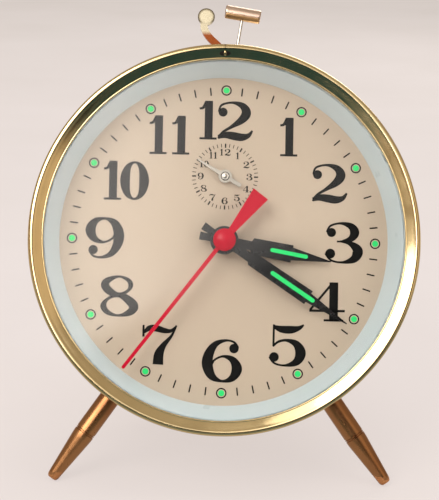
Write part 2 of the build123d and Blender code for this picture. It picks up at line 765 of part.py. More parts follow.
# Alarm setting arbor with its cam, and the alarm hand
with BuildPart() as alarm_set_arbor:
    with BuildSketch(at(alarm_centre, knob_front - 3)):
        Circle(1.0)
    extrude(amount=alarm_height + hand_thick + 0.4 - knob_front + 3)
    with BuildSketch(at(alarm_centre, -1.4)):
        Circle(3.0)
        with Locations((3.0, 0)):
            Circle(0.8, mode=Mode.SUBTRACT)
    extrude(amount=0.6)
keep(alarm_set_arbor, "alarm_set_arbor")
with BuildPart() as alarm_hand:
    with BuildSketch(at(alarm_centre, alarm_height, -alarm_angle)):
        Polygon((-0.65, 0), (-0.15, 9.2), (0.15, 9.2), (0.65, 0), align=None)
        with Locations((0, -2.4)):
            Rectangle(1.15, 4.8)
        with Locations((0, -4.8)):
            Circle(0.575)
        Circle(1.9)
        Circle(1.0, mode=Mode.SUBTRACT)
    extrude(amount=hand_thick)
keep(alarm_hand, "alarm_hand")

# Barrels, mainsprings, winding arbors, clicks and keys: one set for the time, one for the alarm
alarm_distance = distance(alarm_drum, alarm_escape)
alarm_module = 2 * alarm_distance / (great_count + leaf_count)
alarm_escape_phase = meshed(alarm_drum, alarm_escape, 0, great_count, leaf_count)
ratchet_face = plate_rear - 2.2
drum_radius = 11.2
drum_rear = -24.0


def barrel(place, module, phase):
    """Great wheel with the spring drum behind it."""
    with BuildPart() as drum:
        with BuildSketch(at(place, -11.4)):
            teeth(great_count, module, phase)
        extrude(amount=1.2)
        with BuildSketch(at(place, drum_rear)):
            Circle(drum_radius)
            Circle(drum_radius - 0.8, mode=Mode.SUBTRACT)
        extrude(amount=-11.4 - drum_rear)
        with BuildSketch(at(place, -11.4)):
            Circle(drum_pivot + running_fit)
        extrude(amount=1.2, mode=Mode.SUBTRACT)
    return drum


def winding_arbor(place):
    """Arbor with a spring collar, a saw-toothed ratchet and an end for the key."""
    with BuildPart() as arbor:
        for low, high, radius in ((knob_front - key_seat, front_plate_face, drum_pivot), (-23.5, -11.7, 2.6)):
            with BuildSketch(at(place, low)):
                Circle(radius)
            extrude(amount=high - low)
        with BuildSketch(at(place, ratchet_face)):
            Circle(4.6)
            with PolarLocations(0, 14):
                Polygon((4.0, -1.0), (5.5, 0.6), (5.5, 0.9), (4.0, 0.9), align=None)
        extrude(amount=1.2)
    return arbor


def click(place, turn):
    """Pawl with its own stud, resting just clear of the ratchet."""
    with BuildPart() as pawl:
        with BuildSketch(at(place, ratchet_face, turn)):
            Circle(1.6)
            Polygon((-1.2, -0.6), (1.2, 0.8), (4.2, -4.0), (3.5, -4.25), align=None)
        extrude(amount=1.2)
        with BuildSketch(at(place, ratchet_face)):
            Circle(0.8)
        extrude(amount=back_plate_face - ratchet_face)
    return pawl


def winding_key(place):
    """Two-winged key with a sleeve on the arbor end."""
    with BuildPart() as key:
        with BuildSketch(at(place, key_end + wing_depth)):
            Circle(3.2)
        extrude(amount=key_length - wing_depth)
        with BuildSketch(side_on(place)):
            with Locations((-6.8, key_end + 5), (6.8, key_end + 5)):
                Circle(5.0)
            with Locations((0, key_end + 6.0)):
                Rectangle(12.0, 5.0)
        extrude(amount=key_thick / 2, both=True)
        with BuildSketch(at(place, knob_front - key_seat)):
            Circle(drum_pivot)
        extrude(amount=key_seat, mode=Mode.SUBTRACT)
    return key


time_barrel = barrel(time_drum, great_module, great_phase)
keep(time_barrel, "time_barrel")
alarm_barrel = barrel(alarm_drum, alarm_module, 0)
keep(alarm_barrel, "alarm_barrel")
time_mainspring = spiral(time_drum, -22.5, 10.3, 3.4, 0.5, 13, 0.6)
keep(time_mainspring, "time_mainspring")
alarm_mainspring = spiral(alarm_drum, -22.5, 10.3, 3.4, 0.5, 13, 0.6)
keep(alarm_mainspring, "alarm_mainspring")
time_winding_arbor = winding_arbor(time_drum)
keep(time_winding_arbor, "time_winding_arbor")
alarm_winding_arbor = winding_arbor(alarm_drum)
keep(alarm_winding_arbor, "alarm_winding_arbor")
time_click = click(time_click_place, 0)
keep(time_click, "time_click")
alarm_click = click(alarm_click_place, 180)
keep(alarm_click, "alarm_click")
time_key = winding_key(time_drum)
keep(time_key, "time_key")
alarm_key = winding_key(alarm_drum)
keep(alarm_key, "alarm_key")

# Alarm escape wheel on its arbor
with BuildPart() as alarm_escape_wheel:
    for low, high, radius in ((back_plate_face - 1.0, front_plate_face, 0.6),
                              (back_plate_face + part_gap, front_plate_face - plate_thick - part_gap, 1.0)):
        with BuildSketch(at(alarm_escape, low)):
            Circle(radius)
        extrude(amount=high - low)
    with BuildSketch(at(alarm_escape, -11.8)):
        teeth(leaf_count, alarm_module, alarm_escape_phase, True)
    extrude(amount=2.2)
    with BuildSketch(at(alarm_escape, -22.0)):
        Circle(3.4)
        with PolarLocations(0, 12):
            Polygon((3.0, -0.6), (4.6, -0.2), (4.6, 0.2), (3.0, 0.6), align=None)
    extrude(amount=1.0)
keep(alarm_escape_wheel, "alarm_escape_wheel")

# Hammer: arbor with anchor and striker, wire rod and cylindrical head
hammer_height = -16.0
rod_radius = 0.45
head_rise = 15.3
rod_length = (case_radius + head_rise - hammer[1]) / cos(radians(hammer_lean))
head_radius = 2.02
head_length = 10.7
hammer_plane = at(hammer, hammer_height, -hammer_lean)
rod_plane = Plane(hammer_plane.origin, x_dir=hammer_plane.x_dir, z_dir=hammer_plane.y_dir)
head_plane = Plane(hammer_plane.origin + hammer_plane.y_dir * rod_length, x_dir=hammer_plane.y_dir,
                   z_dir=hammer_plane.x_dir)
anchor_turn = bearing(hammer, alarm_escape) - 90 - hammer_lean
arm_x = 8.0 * sin(radians(anchor_spread))
arm_y = 8.0 * cos(radians(anchor_spread))
with BuildPart() as hammer_arbor:
    for low, high, radius in ((bell_floor + 1.0, front_plate_face, 0.6),
                              (back_plate_face + part_gap, front_plate_face - plate_thick - part_gap, 1.0),
                              (hammer_height - 1.2, hammer_height + 1.2, 2.0)):
        with BuildSketch(at(hammer, low)):
            Circle(radius)
        extrude(amount=high - low)
    with BuildSketch(at(hammer, -22.0, anchor_turn)):
        Circle(1.8)
        Polygon((-arm_x - 0.5, arm_y), (-arm_x + 0.5, arm_y), (0, 1.2), (arm_x - 0.5, arm_y),
                (arm_x + 0.5, arm_y), (arm_x, arm_y - 1.4), (0, -1.4), (-arm_x, arm_y - 1.4), align=None)
    extrude(amount=1.0)
    with BuildSketch(at(hammer, bell_floor + 2.0, -hammer_lean)):
        Circle(1.6)
        with Locations((0, -6.0)):
            Rectangle(1.2, 12.0)
        with Locations((0, -12.0)):
            Circle(0.9)
    extrude(amount=1.0)
    with BuildSketch(rod_plane.offset(1.0)):
        Circle(rod_radius + 0.01)
    extrude(amount=2.0, mode=Mode.SUBTRACT)
keep(hammer_arbor, "hammer_arbor")
with BuildPart() as hammer_rod:
    with BuildSketch(rod_plane.offset(1.0)):
        Circle(rod_radius)
    extrude(amount=rod_length - 1.0)
keep(hammer_rod, "hammer_rod")
with BuildPart() as hammer_head:
    with BuildSketch(head_plane):
        Circle(head_radius)
    extrude(amount=head_length / 2, both=True)
    fillet(hammer_head.edges().filter_by(GeomType.CIRCLE), 0.5)
    with BuildSketch(rod_plane.offset(rod_length - 3.0)):
        Circle(rod_radius + 0.01)
    extrude(amount=3.0, mode=Mode.SUBTRACT)
keep(hammer_head, "hammer_head")

# Bell cup behind the back plate, on its own post
bell_radius = 8.0
bell_wall = 0.8
with BuildPart() as bell_cup:
    with BuildSketch(side_on(bell_place)):
        with BuildLine():
            Polyline((0, plate_rear), (1.5, plate_rear), (1.5, bell_floor + bell_wall),
                     (bell_radius - 2.0, bell_floor + bell_wall))
            RadiusArc((bell_radius - 2.0, bell_floor + bell_wall),
                      (bell_radius - bell_wall, bell_floor + 2.0), 2.0 - bell_wall)
            Polyline((bell_radius - bell_wall, bell_floor + 2.0), (bell_radius - bell_wall, bell_floor + 4.5),
                     (bell_radius, bell_floor + 4.5), (bell_radius, bell_floor + 2.0))
            RadiusArc((bell_radius, bell_floor + 2.0), (bell_radius - 2.0, bell_floor), -2.0)
            Polyline((bell_radius - 2.0, bell_floor), (0, bell_floor), (0, plate_rear))
        make_face()
    revolve(axis=Axis(at(bell_place, 0).origin, front))
keep(bell_cup, "bell_cup")

# Stop lever: stamped strip with a round finger end, on a post of the front plate
strip_width = 2.1
strip_thick = 1.2
finger = (-6.1, case_radius + 12.9)
with BuildPart() as stop_lever:
    with BuildSketch(at(centre, -10.6)):
        with BuildLine():
            Spline(stop, (-2.4, (stop[1] + case_radius + 1.0) / 2), (-0.9, case_radius - 1.0),
                   (-1.6, case_radius + 3.3), (-4.2, case_radius + 5.9), (-6.3, case_radius + 8.6), finger)
        trace(line_width=strip_width)
        with Locations(finger):
            Circle(2.5)
        with Locations(stop):
            Circle(2.4)
            Circle(1.0 + running_fit, mode=Mode.SUBTRACT)
    extrude(amount=strip_thick)
keep(stop_lever, "stop_lever")
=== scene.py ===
"""Looks of a wind-up alarm clock: finishes, printed dial, luminous hands, turned metal and the stage."""

import json
import logging
import math
from dataclasses import dataclass, field
from enum import Enum
from typing import Callable, Iterable, Mapping, Sequence

import bmesh
import bpy
from mathutils import Matrix, Vector


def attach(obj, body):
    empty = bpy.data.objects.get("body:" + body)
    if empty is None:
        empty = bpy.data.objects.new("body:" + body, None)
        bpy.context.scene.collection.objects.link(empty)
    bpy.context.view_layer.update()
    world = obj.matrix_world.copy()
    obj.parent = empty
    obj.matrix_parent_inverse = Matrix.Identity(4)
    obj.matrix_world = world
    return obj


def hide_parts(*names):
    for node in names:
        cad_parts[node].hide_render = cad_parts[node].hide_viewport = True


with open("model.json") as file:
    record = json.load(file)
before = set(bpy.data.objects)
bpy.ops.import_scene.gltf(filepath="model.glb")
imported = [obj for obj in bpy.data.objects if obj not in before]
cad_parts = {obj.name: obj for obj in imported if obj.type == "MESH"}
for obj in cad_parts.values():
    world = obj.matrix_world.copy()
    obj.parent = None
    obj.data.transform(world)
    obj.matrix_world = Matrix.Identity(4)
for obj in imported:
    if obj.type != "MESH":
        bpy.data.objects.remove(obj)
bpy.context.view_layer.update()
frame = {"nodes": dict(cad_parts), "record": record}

log = logging.getLogger("clock")
logging.basicConfig(level=logging.INFO, format="%(name)s %(message)s")

MM = 0.001  # metres in a millimetre
CLOCK_MIDDLE = Vector((0.0, 0.0, 0.065))  # point that the lights aim at, in metres
HOUR_ANGLE = 30.0  # degrees between two hours
MINUTE_ANGLE = 6.0  # degrees between two minutes
MERGE = 1e-5  # points of a spun mesh nearer than this are joined, in millimetres
MERGE_CAD = 1e-6  # the same on a CAD node, in metres
HAIRLINE = 0.01  # least width of a stroke
THICK_STROKE = 0.12  # strokes above this width grow in a wider figure
Point = tuple[float, float]
Triple = tuple[float, float, float]
Color = tuple[float, float, float]
Mesh = bmesh.types.BMesh
Socket = bpy.types.NodeSocket
Feed = Socket | float | Vector | Triple


class Body(Enum):
    """CAD bodies that the added pieces ride on."""

    CLOCK = "clock"
    MINUTE = "minute_group"
    HOUR = "hour_group"
    SETTING = "setting_group"
    ALARM_SET = "alarm_set_group"


class Slot(Enum):
    """Material slots of the record."""

    GOLD = "gold"
    LEG = "leg_brass"
    HAMMER = "hammer_brass"
    GLASS = "clear_glass"
    RING = "white_ring"
    DIAL = "dial_paint"
    BLACK = "black_paint"
    RED = "red_paint"
    NICKEL = "nickel"
    KEY = "key_metal"
    MOVEMENT = "movement_brass"
    STEEL = "steel"


@dataclass(frozen=True)
class ClockSpace:
    """The leaning frame of the dial: x to the right, y up the dial, z toward the viewer, in millimetres.

    Args:
        origin: Centre of the dial's front face in metres.
        front: Unit vector out of the dial.
    """

    origin: Vector
    front: Vector

    @classmethod
    def from_joint(cls, name: str) -> "ClockSpace":
        """Take the dial's centre and direction from a joint.

        Args:
            name: Joint whose axis goes through the dial's centre.

        Returns:
            The dial's frame.
        """
        joint = next(j for j in frame["record"]["behaviour"]["joints"] if j["name"] == name)
        return cls(Vector(joint["pos_m"]), Vector(joint["axis"]).normalized())

    @property
    def up(self) -> Vector:
        """Direction from six to twelve."""
        return Vector((0.0, self.front.z, -self.front.y))

    def matrix(self, x: float = 0.0, y: float = 0.0, z: float = 0.0, turn: float = 0.0) -> Matrix:
        """Matrix from dial millimetres to world metres.

        Args:
            x: Place to the right of the dial's centre.
            y: Place up the dial.
            z: Height above the dial.
            turn: Clockwise turn seen from the front, in degrees.

        Returns:
            A matrix that places a mesh drawn in millimetres.
        """
        right = Vector((1.0, 0.0, 0.0))
        turned = Matrix.Rotation(math.radians(-turn), 4, "Z")
        basis = Matrix((right, self.up, self.front)).transposed().to_4x4()
        spot = self.origin + (right * x + self.up * y + self.front * z) * MM
        return Matrix.Translation(spot) @ basis @ Matrix.Scale(MM, 4) @ turned

    def along(self, angle: float, z: float) -> Matrix:
        """Matrix for a piece turned about a line that leaves the dial's axis sideways.

        Args:
            angle: Clockwise angle of the line from twelve, in degrees.
            z: Height of the line above the dial.

        Returns:
            A matrix whose third axis runs along the line.
        """
        line = Vector((math.sin(math.radians(angle)), 0.0, 0.0)) + self.up * math.cos(math.radians(angle))
        side = line.cross(self.front)
        basis = Matrix((self.front, side, line)).transposed().to_4x4()
        return Matrix.Translation(self.origin + self.front * z * MM) @ basis @ Matrix.Scale(MM, 4)


SPACE = ClockSpace.from_joint("second_turn")


@dataclass(frozen=True)
class Wiring:
    """Adds nodes to one shader tree and links them.

    Args:
        tree: Node tree to add to.
    """

    tree: bpy.types.NodeTree

    @classmethod
    def material(cls, name: str, bare: bool = False) -> tuple[bpy.types.Material, "Wiring"]:
        """Make a material.

        Args:
            name: Material name.
            bare: True takes out the usual shader, for a surface that is wired by hand.

        Returns:
            The material and the wiring of its nodes.
        """
        material = bpy.data.materials.new(name)
        material.use_nodes = True
        if bare:
            material.node_tree.nodes.clear()
        return material, cls(material.node_tree)

    def feed(self, node: bpy.types.Node, inputs: Mapping[str | int, Feed]) -> None:
        """Link sockets to some inputs of a node and set constants on others.

        Args:
            node: Node to feed.
            inputs: Socket or constant for each input, by its name or number.
        """
        for key, value in inputs.items():
            target = node.inputs[key]
            if isinstance(value, bpy.types.NodeSocket):
                self.tree.links.new(value, target)
            elif target.type == "RGBA":
                target.default_value = (*value, 1.0)
            else:
                target.default_value = value

    def add(self, kind: str, out: str, inputs: Mapping[str | int, Feed], operation: str = "") -> Socket:
        """Add a node.

        Args:
            kind: Node type after its common beginning.
            out: Output to hand back.
            inputs: Socket or constant for each input.
            operation: What a calculating node does.

        Returns:
            The output socket.
        """
        node = self.tree.nodes.new(f"ShaderNode{kind}")
        if operation:
            node.operation = operation
        self.feed(node, inputs)
        return node.outputs[out]

    def place(self) -> Socket:
        """Object coordinates."""
        return self.add("TexCoord", "Object", {})

    def noise(self, place: Socket, scale: float, detail: float) -> Socket:
        """Noise value at given coordinates."""
        return self.add("TexNoise", "Fac", {"Vector": place, "Scale": scale, "Detail": detail})

    def remap(self, value: Socket, span: Point, to: Point = (0.0, 1.0)) -> Socket:
        """Map a value from one range to another.

        Args:
            value: Value socket.
            span: Start and end of the input range.
            to: Start and end of the output range.

        Returns:
            The mapped socket.
        """
        return self.add("MapRange", "Result", {"Value": value, "From Min": span[0], "From Max": span[1],
                                               "To Min": to[0], "To Max": to[1]})

    def slide(self, way: Vector, span: Point, to: Point = (0.0, 1.0)) -> Socket:
        """Change a value along a direction.

        Args:
            way: World direction.
            span: Where the change begins and ends, in millimetres from the dial's centre.
            to: Value before and after the change.

        Returns:
            The value socket.
        """
        reach = self.add("VectorMath", "Value", {0: self.place(), 1: way}, "DOT_PRODUCT")
        zero = SPACE.origin.dot(way)
        return self.remap(reach, (zero + span[0] * MM, zero + span[1] * MM), to)

    def product(self, first: Feed, second: Feed) -> Socket:
        """Two values multiplied."""
        return self.add("Math", "Value", {0: first, 1: second}, "MULTIPLY")

    def blend(self, share: Socket, first: Feed, second: Feed) -> Socket:
        """Mix two colours.

        Args:
            share: 0 takes the first colour, 1 the second.
            first: First colour.
            second: Second colour.

        Returns:
            The mixed colour socket.
        """
        mix = self.tree.nodes.new("ShaderNodeMix")
        mix.data_type = "RGBA"
        self.feed(mix, {"Factor": share, "A": first, "B": second})
        return mix.outputs["Result"]

    def surface(self, shader: Socket) -> None:
        """Show a shader on the surface."""
        self.feed(self.tree.nodes.new("ShaderNodeOutputMaterial"), {"Surface": shader})


@dataclass(frozen=True)
class Finish:
    """A surface finish drawn with noise on object coordinates.

    Args:
        name: Material name.
        color: Linear base colour.
        metallic: 1 for bare metal.
        roughness: Middle roughness.
        spread: How far wear moves the roughness each way.
        stain: Second colour that patches fade to.
        stain_share: Strength of the patches.
        grain: Noise scale of the patches, per metre.
        scratch: Height of fine scratches, in metres.
        stretch: Scratch direction as a scale on object coordinates.
        coat: Clear coat weight.
        glow: Emission strength of the base colour.
        sheen: Level of the plain surface reflection.
    """

    name: str
    color: Color
    metallic: float = 0.0
    roughness: float = 0.4
    spread: float = 0.06
    stain: Color = (0.5, 0.4, 0.3)
    stain_share: float = 0.15
    grain: float = 60.0
    scratch: float = 0.00001
    stretch: Triple = (1.0, 1.0, 1.0)
    coat: float = 0.0
    glow: float = 0.0
    sheen: float = 0.5

    def build(self) -> bpy.types.Material:
        """Make the material.

        Returns:
            The new material.
        """
        material, wiring = Wiring.material(self.name)
        place = wiring.place()
        patches = wiring.remap(wiring.noise(place, self.grain, detail=6.0), span=(0.45, 0.75),
                               to=(0.0, self.stain_share))
        color = self._tint(wiring, wiring.blend(patches, self.color, self.stain))
        wear = wiring.remap(wiring.noise(place, self.grain * 4.0, detail=8.0), span=(0.3, 0.7),
                            to=(self.roughness - self.spread, self.roughness + self.spread))
        drawn = wiring.add("Mapping", "Vector", {"Vector": place, "Scale": self.stretch})
        lines = wiring.noise(drawn, scale=900.0, detail=4.0)
        inputs: dict[str | int, Feed] = {
            "Base Color": color, "Metallic": self.metallic, "Specular IOR Level": self.sheen,
            "Roughness": wear, "Coat Weight": self.coat, "Coat Roughness": 0.08,
            "Normal": wiring.add("Bump", "Normal", {"Height": lines, "Distance": self.scratch,
                                                    "Strength": 0.35})}
        if self.glow:
            inputs |= {"Emission Color": color, "Emission Strength": self.glow}
        wiring.feed(wiring.tree.nodes["Principled BSDF"], inputs)
        return material

    def _tint(self, wiring: Wiring, color: Socket) -> Socket:
        """Colour to show for the patched base colour, here unchanged."""
        return color


@dataclass(frozen=True)
class FadedFinish(Finish):
    """A finish for a lever with a round pad: painted shade round the pad's upper rim and a painted reflection
    colour below it.

    Args:
        below: Linear colour of the lower part, a painted reflection.
        fade: Places up the dial where the lower colour ends and the upper begins, in millimetres.
        edge: Linear colour of the painted shade on the pad's rim.
        pad: Centre of the pad in dial millimetres.
        pad_radius: Radius of the pad.
    """

    below: Color = (0.5, 0.2, 0.1)
    fade: Point = (0.0, 1.0)
    edge: Color = (0.05, 0.035, 0.015)
    pad: Triple = (-6.1, 66.9, -10.0)
    pad_radius: float = 2.5

    def _tint(self, wiring: Wiring, color: Socket) -> Socket:
        """Paint shade on the pad's rim and paint a reflected colour on the lower part.

        Args:
            wiring: Wiring of the material.
            color: Patched base colour.

        Returns:
            The colour to show.
        """
        middle = SPACE.matrix(*self.pad).translation
        reach = wiring.add("VectorMath", "Value", {0: wiring.place(), 1: middle}, "DISTANCE")
        radius, foot = self.pad_radius, self.pad[1] - self.pad_radius
        outside = wiring.remap(reach, span=(0.72 * radius * MM, 0.97 * radius * MM))
        above = wiring.slide(SPACE.up, (foot + 0.1 * radius, foot + 0.45 * radius), to=(0.1, 0.95))
        # Painted shade: the pad's rim is darkened, most on its upper side.
        rim_shaded = wiring.blend(wiring.product(outside, above), color, self.edge)
        # Painted reflection: the lower strip gets the darker reflected colour.
        return wiring.blend(wiring.slide(SPACE.up, self.fade), self.below, rim_shaded)


@dataclass(frozen=True)
class ClearGlass:
    """Thin clear glass: light goes straight through and only the surface reflects.

    Args:
        name: Material name.
        ior: Refractive index that sets the reflection.
        haze: Roughness of the reflection.
    """

    name: str = "clock_glass"
    ior: float = 1.45
    haze: float = 0.03

    def build(self) -> bpy.types.Material:
        """Make the material.

        Returns:
            The new material.
        """
        material, wiring = Wiring.material(self.name, bare=True)
        smear = wiring.noise(wiring.place(), scale=45.0, detail=5.0)
        haze = wiring.remap(smear, span=(0.3, 0.8), to=(self.haze * 0.5, self.haze * 2.0))
        shine = wiring.add("BsdfGlossy", "BSDF", {"Roughness": haze})
        clear = wiring.add("BsdfTransparent", "BSDF", {"Color": (0.985, 0.99, 0.985)})
        inside = wiring.add("NewGeometry", "Backfacing", {})
        outside = wiring.add("Math", "Value", {0: 1.0, 1: inside}, "SUBTRACT")
        share = wiring.product(wiring.add("Fresnel", "Fac", {"IOR": self.ior}), outside)
        wiring.surface(wiring.add("MixShader", "Shader", {"Fac": share, 1: clear, 2: shine}))
        return material


class Paints:
    """Every finish of the clock, made once.

    Attributes:
        by_slot: Material for each slot of the record.
        lume: Luminous green paint, with a painted-light glow that brightens it.
        print: Black printing ink.
        head: Plating of the hammer's head.
        lever: Plating of the stop lever, with painted shade round its finger pad and a painted reflection in
            brown below it.
        shade: Painted shade for the dark inside of slots and grooves.
        pointer: Plating of the alarm hand.
        FINISHES: Finish of each slot apart from the glass.
        EDGE: Width of a key's rounded edges, in metres.
        CREASE: Least angle of an edge that is rounded, in degrees.
    """

    FINISHES: dict[Slot, Finish] = {
        Slot.GOLD: Finish("polished_gold", (0.82, 0.65, 0.36), 1.0, 0.15, 0.05,
                          (0.62, 0.42, 0.18), 0.25, 38.0),
        Slot.LEG: Finish("turned_brass", (0.44, 0.212, 0.09), 1.0, 0.30, 0.05,
                         (0.24, 0.065, 0.025), 0.50, 50.0),
        Slot.HAMMER: Finish("soft_brass", (0.84, 0.62, 0.34), 1.0, 0.24, 0.06,
                            (0.60, 0.34, 0.14), 0.30, 90.0),
        # Painted light: the white ring's small glow brightens it where it sits in the bezel's shade.
        Slot.RING: Finish("white_enamel", (0.58, 0.668, 0.705), 0.0, 0.30, 0.03,
                          (0.57, 0.645, 0.675), 0.30, 30.0, coat=0.3, glow=0.05),
        Slot.DIAL: Finish("cream_dial", (0.575, 0.47, 0.372), 0.0, 0.55, 0.05,
                          (0.55, 0.43, 0.322), 0.35, 26.0, scratch=0.000002, sheen=0.15),
        Slot.BLACK: Finish("black_enamel", (0.006, 0.006, 0.007), 0.0, 0.25, 0.06,
                           (0.02, 0.02, 0.022), 0.4, 80.0, coat=0.3),
        Slot.RED: Finish("red_enamel", (0.55, 0.006, 0.028), 0.0, 0.22, 0.05,
                         (0.46, 0.005, 0.023), 0.4, 80.0, coat=0.1, sheen=0.15),
        Slot.NICKEL: Finish("nickel_plate", (0.66, 0.62, 0.57), 1.0, 0.30, 0.06,
                            (0.46, 0.42, 0.37), 0.25, 90.0),
        Slot.KEY: Finish("key_brass", (0.80, 0.58, 0.28), 1.0, 0.22, 0.07,
                         (0.52, 0.33, 0.14), 0.4, 70.0),
        Slot.MOVEMENT: Finish("rolled_brass", (0.74, 0.55, 0.24), 1.0, 0.32, 0.08,
                              (0.5, 0.34, 0.14), 0.4, 60.0, stretch=(1.0, 9.0, 1.0)),
        Slot.STEEL: Finish("ground_steel", (0.52, 0.53, 0.55), 1.0, 0.34, 0.08,
                           (0.36, 0.36, 0.38), 0.3, 80.0, stretch=(1.0, 1.0, 8.0)),
    }
    EDGE: float = 0.0002
    CREASE: float = 40.0

    def __init__(self) -> None:
        """Make all materials and put them on the CAD nodes."""
        self.by_slot: dict[Slot, bpy.types.Material] = {slot: f.build() for slot, f in self.FINISHES.items()}
        self.by_slot[Slot.GLASS] = ClearGlass().build()
        # Painted light: the lume's glow brightens the green paint.
        self.lume = Finish("lume_green", (0.008, 0.64, 0.15), 0.0, 0.6, 0.1,
                           (0.03, 0.52, 0.13), 0.4, 200.0, glow=0.25).build()
        self.print = Finish("dial_ink", (0.005, 0.005, 0.005), 0.0, 0.5, 0.1,
                            (0.012, 0.011, 0.010), 0.4, 120.0, sheen=0.12).build()
        self.head = Finish("rose_nickel", (0.80, 0.62, 0.51), 1.0, 0.31, 0.05,
                           (0.62, 0.40, 0.28), 0.4, 90.0).build()
        # Painted light on the lever: shade round the pad's rim and a reflected brown on the lower strip.
        self.lever = FadedFinish("lever_brass", (0.50, 0.45, 0.32), 1.0, 0.26, 0.05,
                                 (0.36, 0.29, 0.17), 0.4, 220.0,
                                 below=(0.21, 0.055, 0.017), fade=(61.4, 62.6)).build()
        # Painted shade: a dark colour for the insides of grooves, notches and stamped lines.
        self.shade = Finish("painted_shade_recess", (0.012, 0.010, 0.008), 0.0, 0.7, 0.1,
                            (0.03, 0.02, 0.015), 0.4, 80.0, sheen=0.1).build()
        self.pointer = Finish("grey_nickel", (0.42, 0.39, 0.35), 1.0, 0.38, 0.06,
                              (0.34, 0.31, 0.27), 0.3, 120.0).build()
        slots = {s["node"]: Slot(s["material_slot"]) for s in frame["record"]["subparts"]}
        special = {"hammer_head": self.head, "stop_lever": self.lever, "alarm_hand": self.pointer}
        for node, obj in frame["nodes"].items():
            obj.data.materials.clear()
            obj.data.materials.append(special.get(node, self.by_slot[slots[node]]))
        for node in ("time_key", "alarm_key"):
            self._soften(frame["nodes"][node])
        log.info("dressed %d CAD nodes", len(slots))

    def _soften(self, obj: bpy.types.Object) -> None:
        """Round the sharp edges of a flat metal node a little.

        Args:
            obj: CAD node.
        """
        weld = obj.modifiers.new("join_faces", "WELD")
        weld.merge_threshold = MERGE_CAD
        bevel = obj.modifiers.new("soft_edges", "BEVEL")
        bevel.width = self.EDGE
        bevel.segments = 2
        bevel.angle_limit = math.radians(self.CREASE)
        bevel.harden_normals = True


class Shaper:
    """Small workshop that turns outlines in dial millimetres into placed mesh pieces."""

    @staticmethod
    def piece(name: str, bm: Mesh, matrix: Matrix, material: bpy.types.Material, slot: Slot,
              body: Body, crease: float = 32.0) -> bpy.types.Object:
        """Place a drawn mesh, give it its finish and let it ride on a body.

        Args:
            name: Object name.
            bm: Drawn mesh in millimetres; it is freed.
            matrix: Place of the mesh.
            material: Finish.
            slot: Record slot the finish follows; not used.
            body: CAD body it moves with.
            crease: Edges sharper than this angle in degrees stay sharp.

        Returns:
            The new object, at the origin with its place in the mesh.
        """
        bmesh.ops.transform(bm, matrix=matrix, verts=bm.verts)
        bmesh.ops.recalc_face_normals(bm, faces=bm.faces)
        mesh = bpy.data.meshes.new(name)
        bm.to_mesh(mesh)
        bm.free()
        mesh.shade_smooth()
        mesh.set_sharp_from_angle(angle=math.radians(crease))
        mesh.materials.append(material)
        obj = bpy.data.objects.new(name, mesh)
        bpy.context.scene.collection.objects.link(obj)
        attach(obj, body.value)
        log.info("%s: %d faces on %s", name, len(mesh.polygons), body.value)
        return obj

    @staticmethod
    def lathe(profile: Sequence[Point], steps: int = 128, closed: bool = False) -> Mesh:
        """Spin a profile about the third axis.

        Args:
            profile: Radius and height pairs.
            steps: Segments round the axis.
            closed: True joins the last point to the first.

        Returns:
            The spun mesh.
        """
        bm = bmesh.new()
        verts = [bm.verts.new((r, 0.0, z)) for r, z in profile]
        edges = [bm.edges.new(pair) for pair in zip(verts, verts[1:])]
        if closed:
            edges.append(bm.edges.new((verts[-1], verts[0])))
        bmesh.ops.spin(bm, geom=[*verts, *edges], cent=(0, 0, 0), axis=(0, 0, 1), angle=math.tau, steps=steps,
                       use_merge=True, use_duplicate=False)
        bmesh.ops.remove_doubles(bm, verts=bm.verts, dist=MERGE)
        return bm

    @staticmethod
    def arc(cx: float, cz: float, radius: float, start: float, end: float, count: int = 12) -> list[Point]:
        """Points of an arc.

        Args:
            cx: Centre radius.
            cz: Centre height.
            radius: Arc radius.
            start: First angle in degrees.
            end: Last angle in degrees.
            count: Number of steps.

        Returns:
            Points from the first angle to the last.
        """
        angles = [math.radians(start + (end - start) * i / count) for i in range(count + 1)]
        return [(cx + radius * math.cos(a), cz + radius * math.sin(a)) for a in angles]

    @staticmethod
    def raise_faces(bm: Mesh, thick: float) -> None:
        """Give flat faces a thickness below them.

        Args:
            bm: Mesh of flat faces seen from above.
            thick: Thickness in millimetres.
        """
        grown = bmesh.ops.extrude_face_region(bm, geom=list(bm.faces), use_keep_orig=True)
        low = [v for v in grown["geom"] if isinstance(v, bmesh.types.BMVert)]
        bmesh.ops.translate(bm, verts=low, vec=(0.0, 0.0, -thick))


@dataclass(frozen=True)
class Pen:
    """A place to draw flat marks.

    Args:
        bm: Mesh to add to.
        x: Left edge of the figure.
        y: Foot of the figure.
        scale: Height of the figure.
    """

    bm: Mesh
    x: float = 0.0
    y: float = 0.0
    scale: float = 1.0

    def spot(self, x: float, y: float) -> Triple:
        """Place of a point given in parts of the figure's height."""
        return self.x + x * self.scale, self.y + y * self.scale, 0.0


